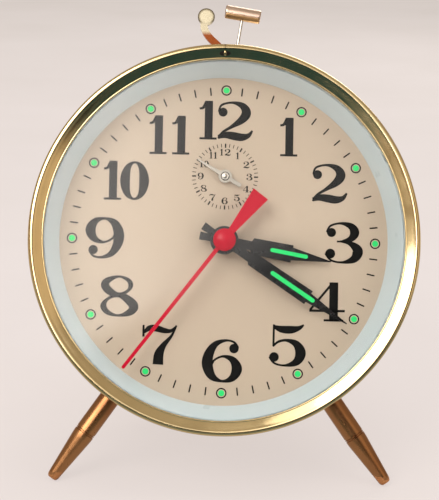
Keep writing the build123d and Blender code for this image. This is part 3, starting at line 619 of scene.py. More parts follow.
@dataclass(frozen=True)
class Stroke:
    """A pen stroke whose width changes along it.

    Args:
        points: Middle line as x, y and full width, in parts of the figure's height.
        loop: True closes the stroke on itself.
        fine: Steps between two points.
    """

    points: tuple[Triple, ...]
    loop: bool = False
    fine: int = 8

    def _at(self, index: int) -> Vector:
        """Point by index, wrapped on a loop and held at the ends otherwise.

        Args:
            index: Number of the point, which may lie past either end.

        Returns:
            The point with the width as third value.
        """
        count = len(self.points)
        place = index % count if self.loop else min(max(index, 0), count - 1)
        return Vector(self.points[place])

    def line(self) -> list[Vector]:
        """Smooth middle line.

        Returns:
            Points with the width as third value.
        """
        found: list[Vector] = []
        spans = len(self.points) if self.loop else len(self.points) - 1
        for i in range(spans):
            a, b, c, d = self._at(i - 1), self._at(i), self._at(i + 1), self._at(i + 2)
            for step in range(self.fine):
                t = step / self.fine
                found.append(0.5 * (2 * b + (c - a) * t + (2 * a - 5 * b + 4 * c - d) * t ** 2
                                    + (3 * b - a - 3 * c + d) * t ** 3))
        if not self.loop:
            found.append(self._at(spans))
        return found

    def draw(self, pen: Pen) -> None:
        """Add the stroke to a mesh.

        Args:
            pen: Where to draw.
        """
        line = self.line()
        last = len(line) - 1
        pairs = []
        for i, p in enumerate(line):
            before = line[i - 1] if i > 0 or self.loop else p
            after = line[(i + 1) % len(line)] if i < last or self.loop else p
            along = (after.xy - before.xy).normalized()
            side = Vector((-along.y, along.x)) * max(p.z, HAIRLINE) / 2
            pairs.append([pen.bm.verts.new(pen.spot(*q)) for q in (p.xy + side, p.xy - side)])
        links = list(zip(pairs, pairs[1:])) + ([(pairs[-1], pairs[0])] if self.loop else [])
        for (a, b), (c, d) in links:
            pen.bm.faces.new((a, b, d, c))


@dataclass(frozen=True)
class Ball:
    """Round end of a stroke.

    Args:
        x: Centre from the left.
        y: Centre from the foot.
        radius: Radius.
    """

    x: float
    y: float
    radius: float

    def draw(self, pen: Pen) -> None:
        """Add the ball to a mesh.

        Args:
            pen: Where to draw.
        """
        spot = Matrix.Translation(pen.spot(self.x, self.y))
        bmesh.ops.create_circle(pen.bm, cap_ends=True, segments=24, radius=self.radius * pen.scale,
                                matrix=spot)


@dataclass(frozen=True)
class Glyph:
    """One figure made of strokes and balls.

    Args:
        width: Advance in parts of the height.
        marks: Strokes and balls.
    """

    width: float
    marks: tuple[Stroke | Ball, ...]

    def draw(self, pen: Pen) -> None:
        """Add all marks to a mesh."""
        for mark in self.marks:
            mark.draw(pen)

    def wide(self, factor: float, weight: float = 1.08) -> "Glyph":
        """The same figure drawn wider.

        Args:
            factor: Stretch across.
            weight: Growth of the thick strokes.

        Returns:
            A wider figure.
        """
        return self._changed(self.width * factor, lambda x, y: (x * factor, y),
                             lambda w: w * weight if w > THICK_STROKE else w)

    def turned(self) -> "Glyph":
        """The same figure upside down."""
        return self._changed(self.width, lambda x, y: (self.width - x, 1.0 - y), lambda w: w)

    def _changed(self, width: float, move: Callable[[float, float], Point],
                 weigh: Callable[[float], float]) -> "Glyph":
        """The figure with its points moved and its strokes made wider or narrower.

        Args:
            width: New advance.
            move: New place of a point.
            weigh: New width of a stroke.

        Returns:
            A new figure.
        """
        marks = (Ball(*move(mark.x, mark.y), mark.radius) if isinstance(mark, Ball)
                 else Stroke(tuple((*move(x, y), weigh(w)) for x, y, w in mark.points), mark.loop, mark.fine)
                 for mark in self.marks)
        return Glyph(width, tuple(marks))


class Figures:
    """Bold upright figures with ball ends, thin hairlines and slab feet.

    Attributes:
        DIGITS: Figure for each digit.
    """

    ZERO = Glyph(0.76, (
        Stroke(((0.38, 0.972, 0.055), (0.19, 0.83, 0.15), (0.12, 0.50, 0.235), (0.19, 0.17, 0.15),
                (0.38, 0.028, 0.055), (0.57, 0.17, 0.15), (0.64, 0.50, 0.235),
                (0.57, 0.83, 0.15)), loop=True),))
    ONE = Glyph(0.56, (
        Stroke(((0.29, 1.0, 0.205), (0.29, 0.0, 0.205)), fine=1),
        Stroke(((0.05, 0.80, 0.055), (0.14, 0.82, 0.07), (0.23, 0.95, 0.11))),
        Stroke(((0.06, 0.028, 0.055), (0.50, 0.028, 0.055)), fine=1)))
    TWO = Glyph(0.90, (
        Ball(0.19, 0.715, 0.115),
        Stroke(((0.095, 0.72, 0.05), (0.16, 0.90, 0.055), (0.40, 0.965, 0.065), (0.62, 0.88, 0.16),
                (0.70, 0.70, 0.225), (0.60, 0.52, 0.18), (0.38, 0.34, 0.09), (0.18, 0.19, 0.06),
                (0.09, 0.03, 0.05))),
        Stroke(((0.09, 0.07, 0.10), (0.24, 0.125, 0.15), (0.42, 0.105, 0.19), (0.60, 0.075, 0.18),
                (0.75, 0.12, 0.12), (0.84, 0.25, 0.045)))))
    THREE = Glyph(0.88, (
        Ball(0.19, 0.745, 0.11),
        Stroke(((0.095, 0.75, 0.05), (0.17, 0.905, 0.05), (0.38, 0.968, 0.06), (0.58, 0.90, 0.15),
                (0.655, 0.75, 0.21), (0.58, 0.60, 0.14), (0.40, 0.535, 0.05), (0.30, 0.53, 0.045))),
        Stroke(((0.36, 0.535, 0.045), (0.54, 0.50, 0.10), (0.68, 0.39, 0.19), (0.72, 0.27, 0.235),
                (0.64, 0.11, 0.17), (0.42, 0.03, 0.06), (0.19, 0.075, 0.05), (0.07, 0.24, 0.05))),
        Ball(0.17, 0.235, 0.12)))
    FOUR = Glyph(0.92, (
        Stroke(((0.63, 1.0, 0.225), (0.63, 0.0, 0.225)), fine=1),
        Stroke(((0.60, 0.985, 0.06), (0.03, 0.29, 0.06)), fine=1),
        Stroke(((0.01, 0.27, 0.06), (0.92, 0.27, 0.06)), fine=1),
        Stroke(((0.38, 0.028, 0.055), (0.88, 0.028, 0.055)), fine=1)))
    FIVE = Glyph(0.86, (
        Stroke(((0.155, 1.0, 0.05), (0.15, 0.48, 0.05)), fine=1),
        Stroke(((0.14, 0.96, 0.06), (0.30, 0.89, 0.15), (0.50, 0.88, 0.17), (0.66, 0.92, 0.11),
                (0.76, 1.0, 0.04))),
        Stroke(((0.14, 0.48, 0.05), (0.25, 0.59, 0.06), (0.42, 0.625, 0.075), (0.61, 0.54, 0.16),
                (0.70, 0.33, 0.235), (0.62, 0.12, 0.17), (0.40, 0.03, 0.06), (0.18, 0.075, 0.05),
                (0.07, 0.23, 0.05))),
        Ball(0.165, 0.225, 0.115)))
    SIX = Glyph(0.88, (
        Stroke(((0.74, 0.80, 0.05), (0.66, 0.93, 0.05), (0.50, 0.968, 0.06), (0.31, 0.88, 0.13),
                (0.19, 0.66, 0.205), (0.16, 0.40, 0.235), (0.25, 0.14, 0.17), (0.44, 0.03, 0.06),
                (0.63, 0.10, 0.15), (0.72, 0.31, 0.225), (0.64, 0.52, 0.15), (0.46, 0.60, 0.06),
                (0.30, 0.52, 0.05), (0.24, 0.40, 0.05))),
        Ball(0.66, 0.785, 0.11)))
    SEVEN = Glyph(0.88, (
        Stroke(((0.055, 1.0, 0.05), (0.055, 0.70, 0.06)), fine=1),
        Stroke(((0.07, 0.80, 0.05), (0.18, 0.91, 0.13), (0.34, 0.92, 0.16), (0.54, 0.865, 0.13),
                (0.70, 0.86, 0.09), (0.82, 0.97, 0.05))),
        Stroke(((0.83, 1.0, 0.05), (0.72, 0.74, 0.07), (0.54, 0.50, 0.13), (0.43, 0.27, 0.22),
                (0.41, 0.0, 0.25)))))
    EIGHT = Glyph(0.88, (
        Stroke(((0.44, 0.972, 0.055), (0.25, 0.88, 0.13), (0.19, 0.755, 0.17), (0.29, 0.60, 0.16),
                (0.44, 0.525, 0.12), (0.60, 0.62, 0.07), (0.66, 0.76, 0.12),
                (0.61, 0.89, 0.10)), loop=True),
        Stroke(((0.44, 0.028, 0.055), (0.64, 0.10, 0.14), (0.72, 0.255, 0.20), (0.60, 0.43, 0.17),
                (0.44, 0.525, 0.12), (0.25, 0.43, 0.07), (0.17, 0.26, 0.13),
                (0.25, 0.10, 0.12)), loop=True)))
    DIGITS: dict[str, Glyph] = {"0": ZERO.wide(0.94), "1": ONE, "2": TWO.wide(1.17), "3": THREE.wide(1.20),
                                "4": FOUR, "5": FIVE.wide(1.18), "6": SIX.wide(1.22), "7": SEVEN.wide(1.08),
                                "8": EIGHT.wide(1.33, 1.14), "9": SIX.wide(1.22).turned()}

    @classmethod
    def draw(cls, bm: Mesh, number: int, middle: Point, height: float, gap: float) -> None:
        """Draw a number about a middle point.

        Args:
            bm: Mesh to add to.
            number: Number to draw.
            middle: Middle of the number.
            height: Figure height.
            gap: Space between two figures in parts of the height.
        """
        glyphs = [cls.DIGITS[c] for c in str(number)]
        total = sum(g.width for g in glyphs) + gap * (len(glyphs) - 1)
        left = middle[0] - total * height / 2
        for glyph in glyphs:
            glyph.draw(Pen(bm, left, middle[1] - height / 2, height))
            left += (glyph.width + gap) * height


@dataclass(frozen=True)
class FigureFit:
    """How one hour figure sits on its circle.

    Args:
        dx: Shift to the right.
        dy: Shift up the dial.
        scale: Growth against the common height.
        gap: Space between two figures in parts of the height.
    """

    dx: float = 0.0
    dy: float = 0.0
    scale: float = 1.0
    gap: float = 0.02


@dataclass
class DialPrint:
    """Printing on the dial: figures, minute ticks, luminous dots and the small alarm scale.

    Args:
        paints: Finishes.
        ink: Thickness of the ink above the dial.
        figure_height: Height of the hour figures.
        figure_radius: Circle of the figures' middles.
        tick: Inner end, outer end and width of a minute tick.
        dot_circle: Circle of the luminous dots.
        dot_outer: Outer radius of a dot's black ring.
        dot_inner: Inner radius of a dot's black ring.
        dot_lume: Radius of the green dot.
        alarm_place: Centre of the alarm scale above the dial's centre.
        alarm_tick: Inner end, outer end and width of an alarm tick.
        alarm_bold: The same at a full hour.
        alarm_figures: Circle of the alarm figures.
        alarm_height: Height of the alarm figures.
        alarm_gap: Space between two alarm figures in parts of the height.
        fits: How each hour figure sits.
    """

    paints: Paints
    ink: float = 0.04
    figure_height: float = 11.2
    figure_radius: float = 34.4
    tick: Triple = (42.0, 44.3, 0.4)
    dot_circle: float = 43.4
    dot_outer: float = 1.5
    dot_inner: float = 1.15
    dot_lume: float = 0.88
    alarm_place: float = 18.5
    alarm_tick: Triple = (8.45, 9.5, 0.2)
    alarm_bold: Triple = (8.3, 9.5, 0.4)
    alarm_figures: float = 7.0
    alarm_height: float = 1.9
    alarm_gap: float = 0.1
    fits: dict[int, FigureFit] = field(default_factory=lambda: {
        1: FigureFit(1.0, 0.5), 2: FigureFit(0.2, 0.0), 3: FigureFit(0.0, 0.1, 1.065), 4: FigureFit(0.0, 0.3),
        5: FigureFit(1.4, 0.2, 1.07), 6: FigureFit(0.1, 0.2, 1.10), 7: FigureFit(-0.6, -0.2),
        8: FigureFit(0.0, 0.9, 1.05), 9: FigureFit(0.3, 0.2, 1.06), 10: FigureFit(1.2, -0.4, 1.0, -0.08),
        11: FigureFit(1.1, 0.4), 12: FigureFit(0.1, 0.3, 1.0, -0.127)})

    def build(self) -> None:
        """Make every printed piece."""
        for name, draw in (("dial_figures", self._figures), ("dial_ticks", self._ticks),
                           ("dot_rings", self._rings), ("alarm_scale", self._alarm)):
            bm = bmesh.new()
            draw(bm)
            Shaper.raise_faces(bm, self.ink * 1.5)
            Shaper.piece(name, bm, SPACE.matrix(z=self.ink), self.paints.print, Slot.DIAL, Body.CLOCK)
        dots = bmesh.new()
        for x, y in self._hours(self.dot_circle):
            Ball(x, y, self.dot_lume).draw(Pen(dots))
        Shaper.raise_faces(dots, self.ink * 2.0)
        Shaper.piece("dial_dots", dots, SPACE.matrix(z=self.ink * 1.5), self.paints.lume, Slot.DIAL,
                     Body.CLOCK)

    @staticmethod
    def _polar(angle: float, radius: float) -> Point:
        """Point at a clockwise angle from twelve, in degrees, and a radius."""
        return radius * math.sin(math.radians(angle)), radius * math.cos(math.radians(angle))

    def _hours(self, radius: float) -> list[Point]:
        """Points of the twelve hours on a circle, from twelve on."""
        return [self._polar(hour * HOUR_ANGLE, radius) for hour in range(12)]

    def _tick(self, pen: Pen, angle: float, tick: Triple) -> None:
        """Draw one radial line.

        Args:
            pen: Where the scale's centre is.
            angle: Clockwise angle from twelve.
            tick: Inner end, outer end and width.
        """
        *span, width = tick
        Stroke(tuple((*self._polar(angle, radius), width) for radius in span), fine=1).draw(pen)

    def _figures(self, bm: Mesh) -> None:
        """Draw the hour figures, each upright.

        Args:
            bm: Mesh to add to.
        """
        for hour, fit in self.fits.items():
            x, y = self._polar(hour * HOUR_ANGLE, self.figure_radius)
            Figures.draw(bm, hour, (x + fit.dx, y + fit.dy), self.figure_height * fit.scale, fit.gap)

    def _ticks(self, bm: Mesh) -> None:
        """Draw the minute ticks between the dots.

        Args:
            bm: Mesh to add to.
        """
        for minute in range(60):
            if minute % 5:
                self._tick(Pen(bm), minute * MINUTE_ANGLE, self.tick)

    def _rings(self, bm: Mesh) -> None:
        """Draw the black ring round each luminous dot.

        Args:
            bm: Mesh to add to.
        """
        middle, width = (self.dot_outer + self.dot_inner) / 2, self.dot_outer - self.dot_inner
        circle = tuple((*point, width) for point in self._hours(middle))
        for x, y in self._hours(self.dot_circle):
            Stroke(circle, loop=True, fine=4).draw(Pen(bm, x, y))

    def _alarm(self, bm: Mesh) -> None:
        """Draw the alarm scale: a tick for each quarter hour and twelve small figures.

        Args:
            bm: Mesh to add to.
        """
        for quarter in range(48):
            tick = self.alarm_tick if quarter % 4 else self.alarm_bold
            self._tick(Pen(bm, y=self.alarm_place), quarter * HOUR_ANGLE / 4, tick)
        for hour in range(1, 13):
            x, y = self._polar(hour * HOUR_ANGLE, self.alarm_figures)
            Figures.draw(bm, hour, (x, y + self.alarm_place), self.alarm_height, self.alarm_gap)


@dataclass(frozen=True)
class Strip:
    """A green strip with round ends on a hand.

    Args:
        name: Piece name.
        body: Body of the hand.
        angle: Clockwise angle of the hand.
        inner: Inner end.
        outer: Outer end.
        width: Width.
        height: Height of the hand's face above the dial.
    """

    name: str
    body: Body
    angle: float
    inner: float
    outer: float
    width: float
    height: float

    def build(self, paints: Paints) -> None:
        """Make the strip.

        Args:
            paints: Finishes.
        """
        half, thick, proud = self.width / 2, 0.12, 0.07
        bm = bmesh.new()
        outline = (Shaper.arc(0.0, self.outer - half, half, 0.0, 180.0)
                   + Shaper.arc(0.0, self.inner + half, half, 180.0, 360.0))
        bm.faces.new([bm.verts.new((x, y, 0.0)) for x, y in outline])
        Shaper.raise_faces(bm, thick)
        Shaper.piece(self.name, bm, SPACE.matrix(z=self.height + proud, turn=self.angle), paints.lume,
                     Slot.BLACK, self.body)


STRIPS = (Strip("minute_lume", Body.MINUTE, 123.4, 16.0, 30.9, 1.2, 4.0),
          Strip("hour_lume", Body.HOUR, 100.3, 13.4, 24.3, 1.15, 2.6))


@dataclass
class AlarmRivet:
    """Domed end of the alarm arbor over the small hand.

    Args:
        paints: Finishes.
        place: Centre of the alarm scale above the dial's centre.
        foot: Height of the hand's face above the dial.
        rise: Rise of the dome.
        radius: Radius of the dome.
        groove: Outer radius of the painted shade line round it.
    """

    paints: Paints
    place: float = 18.5
    foot: float = 1.2
    rise: float = 0.55
    radius: float = 1.04
    groove: float = 1.26

    def build(self) -> None:
        """Make the dome and the painted shade line round it."""
        spot = SPACE.matrix(0.0, self.place, self.foot)
        low, high, steps = -0.02, 0.03, 40
        angles = [math.radians(a) for a in range(90, -1, -10)]
        dome = [(self.radius * math.cos(a), self.rise * math.sin(a)) for a in angles]
        bm = Shaper.lathe([*dome, (self.radius, low), (0.0, low)], steps)
        Shaper.piece("alarm_rivet", bm, spot, self.paints.by_slot[Slot.NICKEL], Slot.NICKEL, Body.ALARM_SET)
        # Painted shade: a dark line stands for the groove round the dome.
        inner = self.radius - 0.1
        line = [(inner, low), (self.groove, low), (self.groove, high), (inner, high)]
        Shaper.piece("alarm_groove", Shaper.lathe(line, steps, True), spot, self.paints.shade, Slot.NICKEL,
                     Body.ALARM_SET)


@dataclass
class FrontRing:
    """Bezel, glass and white ring as fine turned pieces.

    Args:
        paints: Finishes.
        bezel_radius: Outer radius of the bezel.
        roll: Radius of its rolled front edge.
        front: Height of the roll's top above the dial.
        skirt: Depth and height of the skirt's corners, with its bead line.
        slope: Radius and height of the hollow slope behind the roll.
        lip: Inner radius of the bezel.
        bead: Radius of the bead round the lip.
        bead_height: Height of that bead's middle.
        inside: Radius and height of the hidden inner side.
        glass_radius: Radius of the glass.
        dome_radius: Radius of the dome's foot.
        dome_rise: Rise of the dome.
        glass_low: Underside of the glass rim.
        glass_thick: Thickness of the glass.
        ring_inner: Inner radius of the white ring at the dial.
        ring_outer: Inner radius of the white ring at the glass.
        seam_x: Place of the bezel's joint beside the top.
    """

    paints: Paints
    bezel_radius: float = 54.98
    roll: float = 1.05
    front: float = 10.35
    skirt: tuple[Point, ...] = ((0.93, 1.0), (0.15, 1.0), (0.0, 1.15), (0.0, 1.9), (0.25, 2.1), (0.25, 2.3),
                                (0.0, 2.5))
    slope: tuple[Point, ...] = ((53.2, 10.10), (52.8, 9.93), (52.3, 9.72), (51.8, 9.50), (51.45, 9.34),
                                (51.2, 9.22))
    lip: float = 50.7
    bead: float = 0.28
    bead_height: float = 9.02
    inside: tuple[Point, ...] = ((52.9, 8.2), (53.5, 9.5), (53.8, 9.4), (54.05, 9.0))
    glass_radius: float = 51.6
    dome_radius: float = 49.7
    dome_rise: float = 1.2
    glass_low: float = 6.8
    glass_thick: float = 1.4
    ring_inner: float = 47.0
    ring_outer: float = 50.4
    seam_x: float = -0.9

    def build(self) -> None:
        """Make the three turned pieces and the bezel's joint."""
        bezel = Shaper.lathe(self._bezel(), steps=256, closed=True)
        self._turned("bezel_turned", "bezel", bezel, Slot.GOLD, crease=40.0)
        self._seam()
        self._turned("glass_domed", "glass", Shaper.lathe(self._glass(), steps=192), Slot.GLASS)
        ring = Shaper.lathe(self._ring(), steps=256, closed=True)
        self._turned("ring_turned", "dial_ring", ring, Slot.RING)

    def _turned(self, name: str, node: str, bm: Mesh, slot: Slot, crease: float = 32.0) -> None:
        """Make one turned piece in the place of a CAD node.

        Args:
            name: Piece name.
            node: CAD node it stands for.
            bm: Spun mesh.
            slot: Record slot.
            crease: Edges sharper than this angle in degrees stay sharp.
        """
        piece = Shaper.piece(name, bm, SPACE.matrix(), self.paints.by_slot[slot], slot, Body.CLOCK, crease)
        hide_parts(node)

    def _bezel(self) -> list[Point]:
        """Section of the bezel: skirt with a bead line, roll, hollow slope and lip.

        Returns:
            Radius and height pairs.
        """
        skirt = [(self.bezel_radius - depth, height) for depth, height in self.skirt]
        roll = Shaper.arc(self.bezel_radius - self.roll, self.front - self.roll, self.roll, 0.0, 120.0, 22)
        bead = Shaper.arc(self.lip + self.bead, self.bead_height, self.bead, 60.0, 180.0, 10)
        return [*skirt, *roll, *self.slope, *bead, (self.lip, self.inside[0][1]), *self.inside]

    def _seam(self) -> None:
        """Mark the closed joint at the ring's top: a thin dark line, a notch in painted shade and a bright
        bead.
        """
        place = SPACE.matrix(turn=math.degrees(math.asin(self.seam_x / self.bezel_radius)))
        half, thick, lift = 0.07, 0.04, 0.02
        line = [(self.slope[0][0], self.slope[0][1] + lift),
                *Shaper.arc(self.bezel_radius - self.roll, self.front - self.roll, self.roll + lift,
                            118.0, 20.0, 10)]
        bm = bmesh.new()
        rows = [[bm.verts.new((side, r, z)) for side in (-half, half)] for r, z in line]
        for (a, b), (c, d) in zip(rows, rows[1:]):
            bm.faces.new((a, b, d, c))
        bmesh.ops.solidify(bm, geom=list(bm.faces), thickness=thick)
        middle, tilt = (0.0, 52.3, 9.74), math.radians(22.5)
        slope = Matrix.Translation(middle) @ Matrix.Rotation(tilt, 4, "X")
        notch, bead = Matrix.Diagonal((1.7, 0.8, 1.0, 1.0)), Matrix.Diagonal((0.42, 0.74, 0.3, 1.0))
        # Painted shade: the notch is a dark patch on the slope; the thin line is the joint.
        bmesh.ops.create_cone(bm, cap_ends=True, segments=32, radius1=1.0, radius2=0.8, depth=0.12,
                              matrix=slope @ notch)
        Shaper.piece("bezel_notch", bm, place, self.paints.shade, Slot.GOLD, Body.CLOCK)
        bm = bmesh.new()
        bmesh.ops.create_uvsphere(bm, u_segments=24, v_segments=12, radius=1.0, matrix=slope @ bead)
        Shaper.piece("bezel_bead", bm, place, self.paints.by_slot[Slot.GOLD], Slot.GOLD, Body.CLOCK)

    def _glass(self) -> list[Point]:
        """Section of the glass from the middle of its front to the middle of its back.

        Returns:
            Radius and height pairs.
        """
        sphere = (self.dome_radius ** 2 + self.dome_rise ** 2) / (2 * self.dome_rise)
        edge = 90.0 - math.degrees(math.asin(self.dome_radius / sphere))
        top = self.glass_low + self.glass_thick
        front = Shaper.arc(0.0, top + self.dome_rise - sphere, sphere, 90.0, edge, 16)
        back = Shaper.arc(0.0, self.glass_low + self.dome_rise - sphere, sphere, edge, 90.0, 16)
        return [*front, (self.glass_radius, top), (self.glass_radius, self.glass_low), *back]

    def _ring(self) -> list[Point]:
        """Section of the white ring with soft inner edges.

        Returns:
            Radius and height pairs.
        """
        wall, rim, low, top = 0.9, 53.9, 6.0, self.glass_low
        return [(self.ring_inner, 0.0), (self.ring_inner + 0.1, 0.3), (self.ring_outer - 0.15, top - 0.3),
                (self.ring_outer + 0.1, top), (rim, top), (rim, low), (self.ring_outer + wall, low),
                (self.ring_inner + wall, 0.0)]


@dataclass
class TurnedLegs:
    """Two brass legs with a double groove past the middle, a taper and a blunt tip.

    Args:
        paints: Finishes.
        angle: Spread of a leg from straight down, in degrees.
        height: Height of the legs' lines above the dial.
        radius: Radius of the shank.
        root: Distance of the shank's root from the dial's axis.
        groove: Distance of the groove.
        taper: Distance where the taper begins.
        tip: Distance where the taper ends.
        tip_radius: Radius at the tip.
        flat: Reach of the blunt end past the taper.
        stud: Distance of the stud's inner end.
    """

    paints: Paints
    angle: float = 35.0
    height: float = -5.0
    radius: float = 3.0
    root: float = 54.03
    groove: float = 67.4
    taper: float = 70.4
    tip: float = 82.4
    tip_radius: float = 1.75
    flat: float = 1.2
    stud: float = 51.3

    def build(self) -> None:
        """Make both legs."""
        for name, turn in (("left_leg", 180.0 + self.angle), ("right_leg", 180.0 - self.angle)):
            leg = Shaper.piece(f"{name}_turned", Shaper.lathe(self._section(), steps=64),
                               SPACE.along(turn, self.height), self.paints.by_slot[Slot.LEG], Slot.LEG,
                               Body.CLOCK)
            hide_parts(name)

    def _section(self) -> list[Point]:
        """Section of a leg along its line.

        Returns:
            Radius and distance pairs.
        """
        cuts = ((0.0, -0.42), (0.3, -0.34), (0.3, -0.20), (0.02, -0.10), (0.02, 0.10), (0.3, 0.20),
                (0.3, 0.34))
        groove = [(self.radius - depth, self.groove + shift) for depth, shift in cuts]
        start, waist, edge, stud_radius = self.groove + 0.45, 0.15, 0.2, 1.5
        barrel = [(self.radius - waist * (i / 8) ** 2, start + (self.taper - start) * i / 8)
                  for i in range(9)]
        cut = math.degrees(math.asin(self.flat / self.tip_radius))
        return [(0.0, self.stud), (stud_radius, self.stud), (stud_radius, self.root),
                (self.radius - edge, self.root), (self.radius, self.root + edge), *groove, *barrel,
                (self.tip_radius + 0.02, self.tip - edge),
                *Shaper.arc(0.0, self.tip, self.tip_radius, 4.0, cut, 6), (0.0, self.tip + self.flat)]


@dataclass
class RearFittings:
    """Knurled knobs, slotted cover screws and turning marks on the back.

    Args:
        paints: Finishes.
        knobs: CAD node, place, radius and body of each knob.
        knob_front: Height of the knobs' inner face.
        knob_length: Length of a knob.
        knob_skirt: Length of the narrow sleeve.
        knurls: Ridges round a knob.
        cover_face: Height of the cover's outer face.
        screws: Place and turn of each screw.
        screw_radius: Radius of a screw head.
        screw_height: Height of a screw head.
        screw_slot: Width of the screwdriver slot.
        keys: Place of each key and whether its arrow points down.
        regulator: Centre of the regulator's scale.
    """

    paints: Paints
    knobs: tuple[tuple[str, Point, float, Body], ...] = (
        ("setting_knob", (10.681, -6.167), 5.0, Body.SETTING),
        ("alarm_set_knob", (0.0, 18.5), 4.2, Body.ALARM_SET))
    knob_front: float = -54.7
    knob_length: float = 6.0
    knob_skirt: float = 1.0
    knurls: int = 36
    cover_face: float = -53.2
    screws: tuple[Triple, ...] = ((-33.05, -7.99, 20.0), (32.35, -10.45, 75.0), (-11.63, 31.95, 140.0))
    screw_radius: float = 2.3
    screw_height: float = 1.0
    screw_slot: float = 0.55
    keys: tuple[tuple[float, float, bool], ...] = ((-20.284, 5.435, True), (21.0, 14.0, False))
    regulator: Point = (-7.0, -26.0)

    def build(self) -> None:
        """Make every rear fitting."""
        for node, place, radius, body in self.knobs:
            self._knob(node, place, radius, body)
        self._screws()
        self._marks()

    def _knob(self, node: str, place: Point, radius: float, body: Body) -> None:
        """Make one knurled knob.

        Args:
            node: CAD node it stands for.
            place: Place on the dial plane.
            radius: Outer radius.
            body: Body it turns with.
        """
        end, neck, edge = -self.knob_length, -self.knob_skirt, 0.7
        dish, bore, deep, valley = 0.25, 1.0, 3.0, 0.945
        profile = [(0.0, end + dish), (radius * 0.5, end + dish), (radius * 0.58, end),
                   *Shaper.arc(radius - edge, end + edge, edge, -90.0, 0.0, 6), (radius, neck - edge),
                   *Shaper.arc(radius - edge, neck - edge, edge, 0.0, 90.0, 6),
                   (radius * 0.55, neck), (radius * 0.55, 0.0), (bore, 0.0), (bore, -deep), (0.0, -deep)]
        bm = Shaper.lathe(profile, self.knurls * 2)
        for vert in bm.verts:
            reach = math.hypot(vert.co.x, vert.co.y)
            index = round(math.atan2(vert.co.y, vert.co.x) / math.tau * self.knurls * 2)
            if reach > radius - 0.05 and index % 2:
                vert.co.x *= valley
                vert.co.y *= valley
        knob = Shaper.piece(f"{node}_knurled", bm, SPACE.matrix(*place, self.knob_front),
                            self.paints.by_slot[Slot.KEY], Slot.KEY, body, crease=18.0)
        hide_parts(node)

    def _screws(self) -> None:
        """Make the cover screws with slotted heads."""
        bm = bmesh.new()
        start = math.degrees(math.asin(self.screw_slot / 2 / self.screw_radius))
        floor, base, shank = 0.3, (self.screw_radius, -0.35, 0.0), (1.0, 0.0, 6.0)
        for x, y, turn in self.screws:
            spot = Matrix.Translation((x, y, 0.0)) @ Matrix.Rotation(math.radians(turn), 4, "Z")
            for side in (0.0, 180.0):
                outline = Shaper.arc(0.0, 0.0, self.screw_radius, side + start, side + 180.0 - start, 18)
                top, low = ([bm.verts.new(spot @ Vector((px, py, -height))) for px, py in outline]
                            for height in (self.screw_height, floor))
                bm.faces.new(top)
                for a, b, c, d in zip(top, [*top[1:], top[0]], [*low[1:], low[0]], low):
                    bm.faces.new((a, b, c, d))
            for radius, low_z, high_z in (base, shank):
                place = spot @ Matrix.Translation((0.0, 0.0, (low_z + high_z) / 2))
                bmesh.ops.create_cone(bm, cap_ends=True, segments=36, radius1=radius, radius2=radius,
                                      depth=high_z - low_z, matrix=place)
        screws = Shaper.piece("cover_screws_slotted", bm, SPACE.matrix(z=self.cover_face),
                              self.paints.by_slot[Slot.NICKEL], Slot.NICKEL, Body.CLOCK)
        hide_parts("cover_screws")

    def _marks(self) -> None:
        """Stamp a curved arrow beside each key and a row of lines beside the regulator slot, dark in painted
        shade.
        """
        bm = bmesh.new()
        reach, width, length, half, lift = 15.0, 0.5, 2.2, 1.1, 0.03
        for x, y, forward in self.keys:
            way = -1.0 if x > 0 else 1.0
            points = tuple((way * px, py, width) for px, py in Shaper.arc(0.0, 0.0, reach, 150.0, 210.0, 6))
            Stroke(points, fine=4).draw(Pen(bm, x, y))
            tip, before = (points[-1], points[-2]) if forward else (points[0], points[1])
            along = (Vector(tip[:2]) - Vector(before[:2])).normalized()
            side = Vector((-along.y, along.x))
            base = Vector((x + tip[0], y + tip[1]))
            head = (base + along * length, base + side * half, base - side * half)
            bm.faces.new([bm.verts.new((c.x, c.y, 0.0)) for c in head])
        middle, step, inner, long, short, thin = 45.0, 9.0, 14.4, 16.4, 15.6, 0.3
        for index in range(-3, 4):
            angle = math.radians(middle + index * step)
            ends = (inner, long if index % 3 == 0 else short)
            line = tuple((r * math.cos(angle), r * math.sin(angle), thin) for r in ends)
            Stroke(line, fine=1).draw(Pen(bm, *self.regulator))
        Shaper.raise_faces(bm, lift * 2)
        # Painted shade: the stamped marks are drawn dark.
        Shaper.piece("cover_marks", bm, SPACE.matrix(z=self.cover_face + lift), self.paints.shade,
                     Slot.GOLD, Body.CLOCK)


@dataclass(frozen=True)
class Lamp:
    """A square soft light aimed at the clock.

    Args:
        name: Light name.
        place: World place in metres.
        size: Side in metres.
        power: Watts.
        color: Linear colour.
        mirrored: False keeps it out of polished metal.
    """

    name: str
    place: Triple
    size: float
    power: float
    color: Color
    mirrored: bool = True

    def build(self) -> None:
        """Hang the light."""
        data = bpy.data.lights.new(self.name, "AREA")
        data.size = self.size
        data.energy = self.power
        data.color = self.color
        lamp = bpy.data.objects.new(self.name, data)
        lamp.location = self.place
        lamp.visible_glossy = self.mirrored
        aim = CLOCK_MIDDLE - Vector(self.place)
        lamp.rotation_euler = aim.to_track_quat("-Z", "Y").to_euler()
        bpy.context.scene.collection.objects.link(lamp)


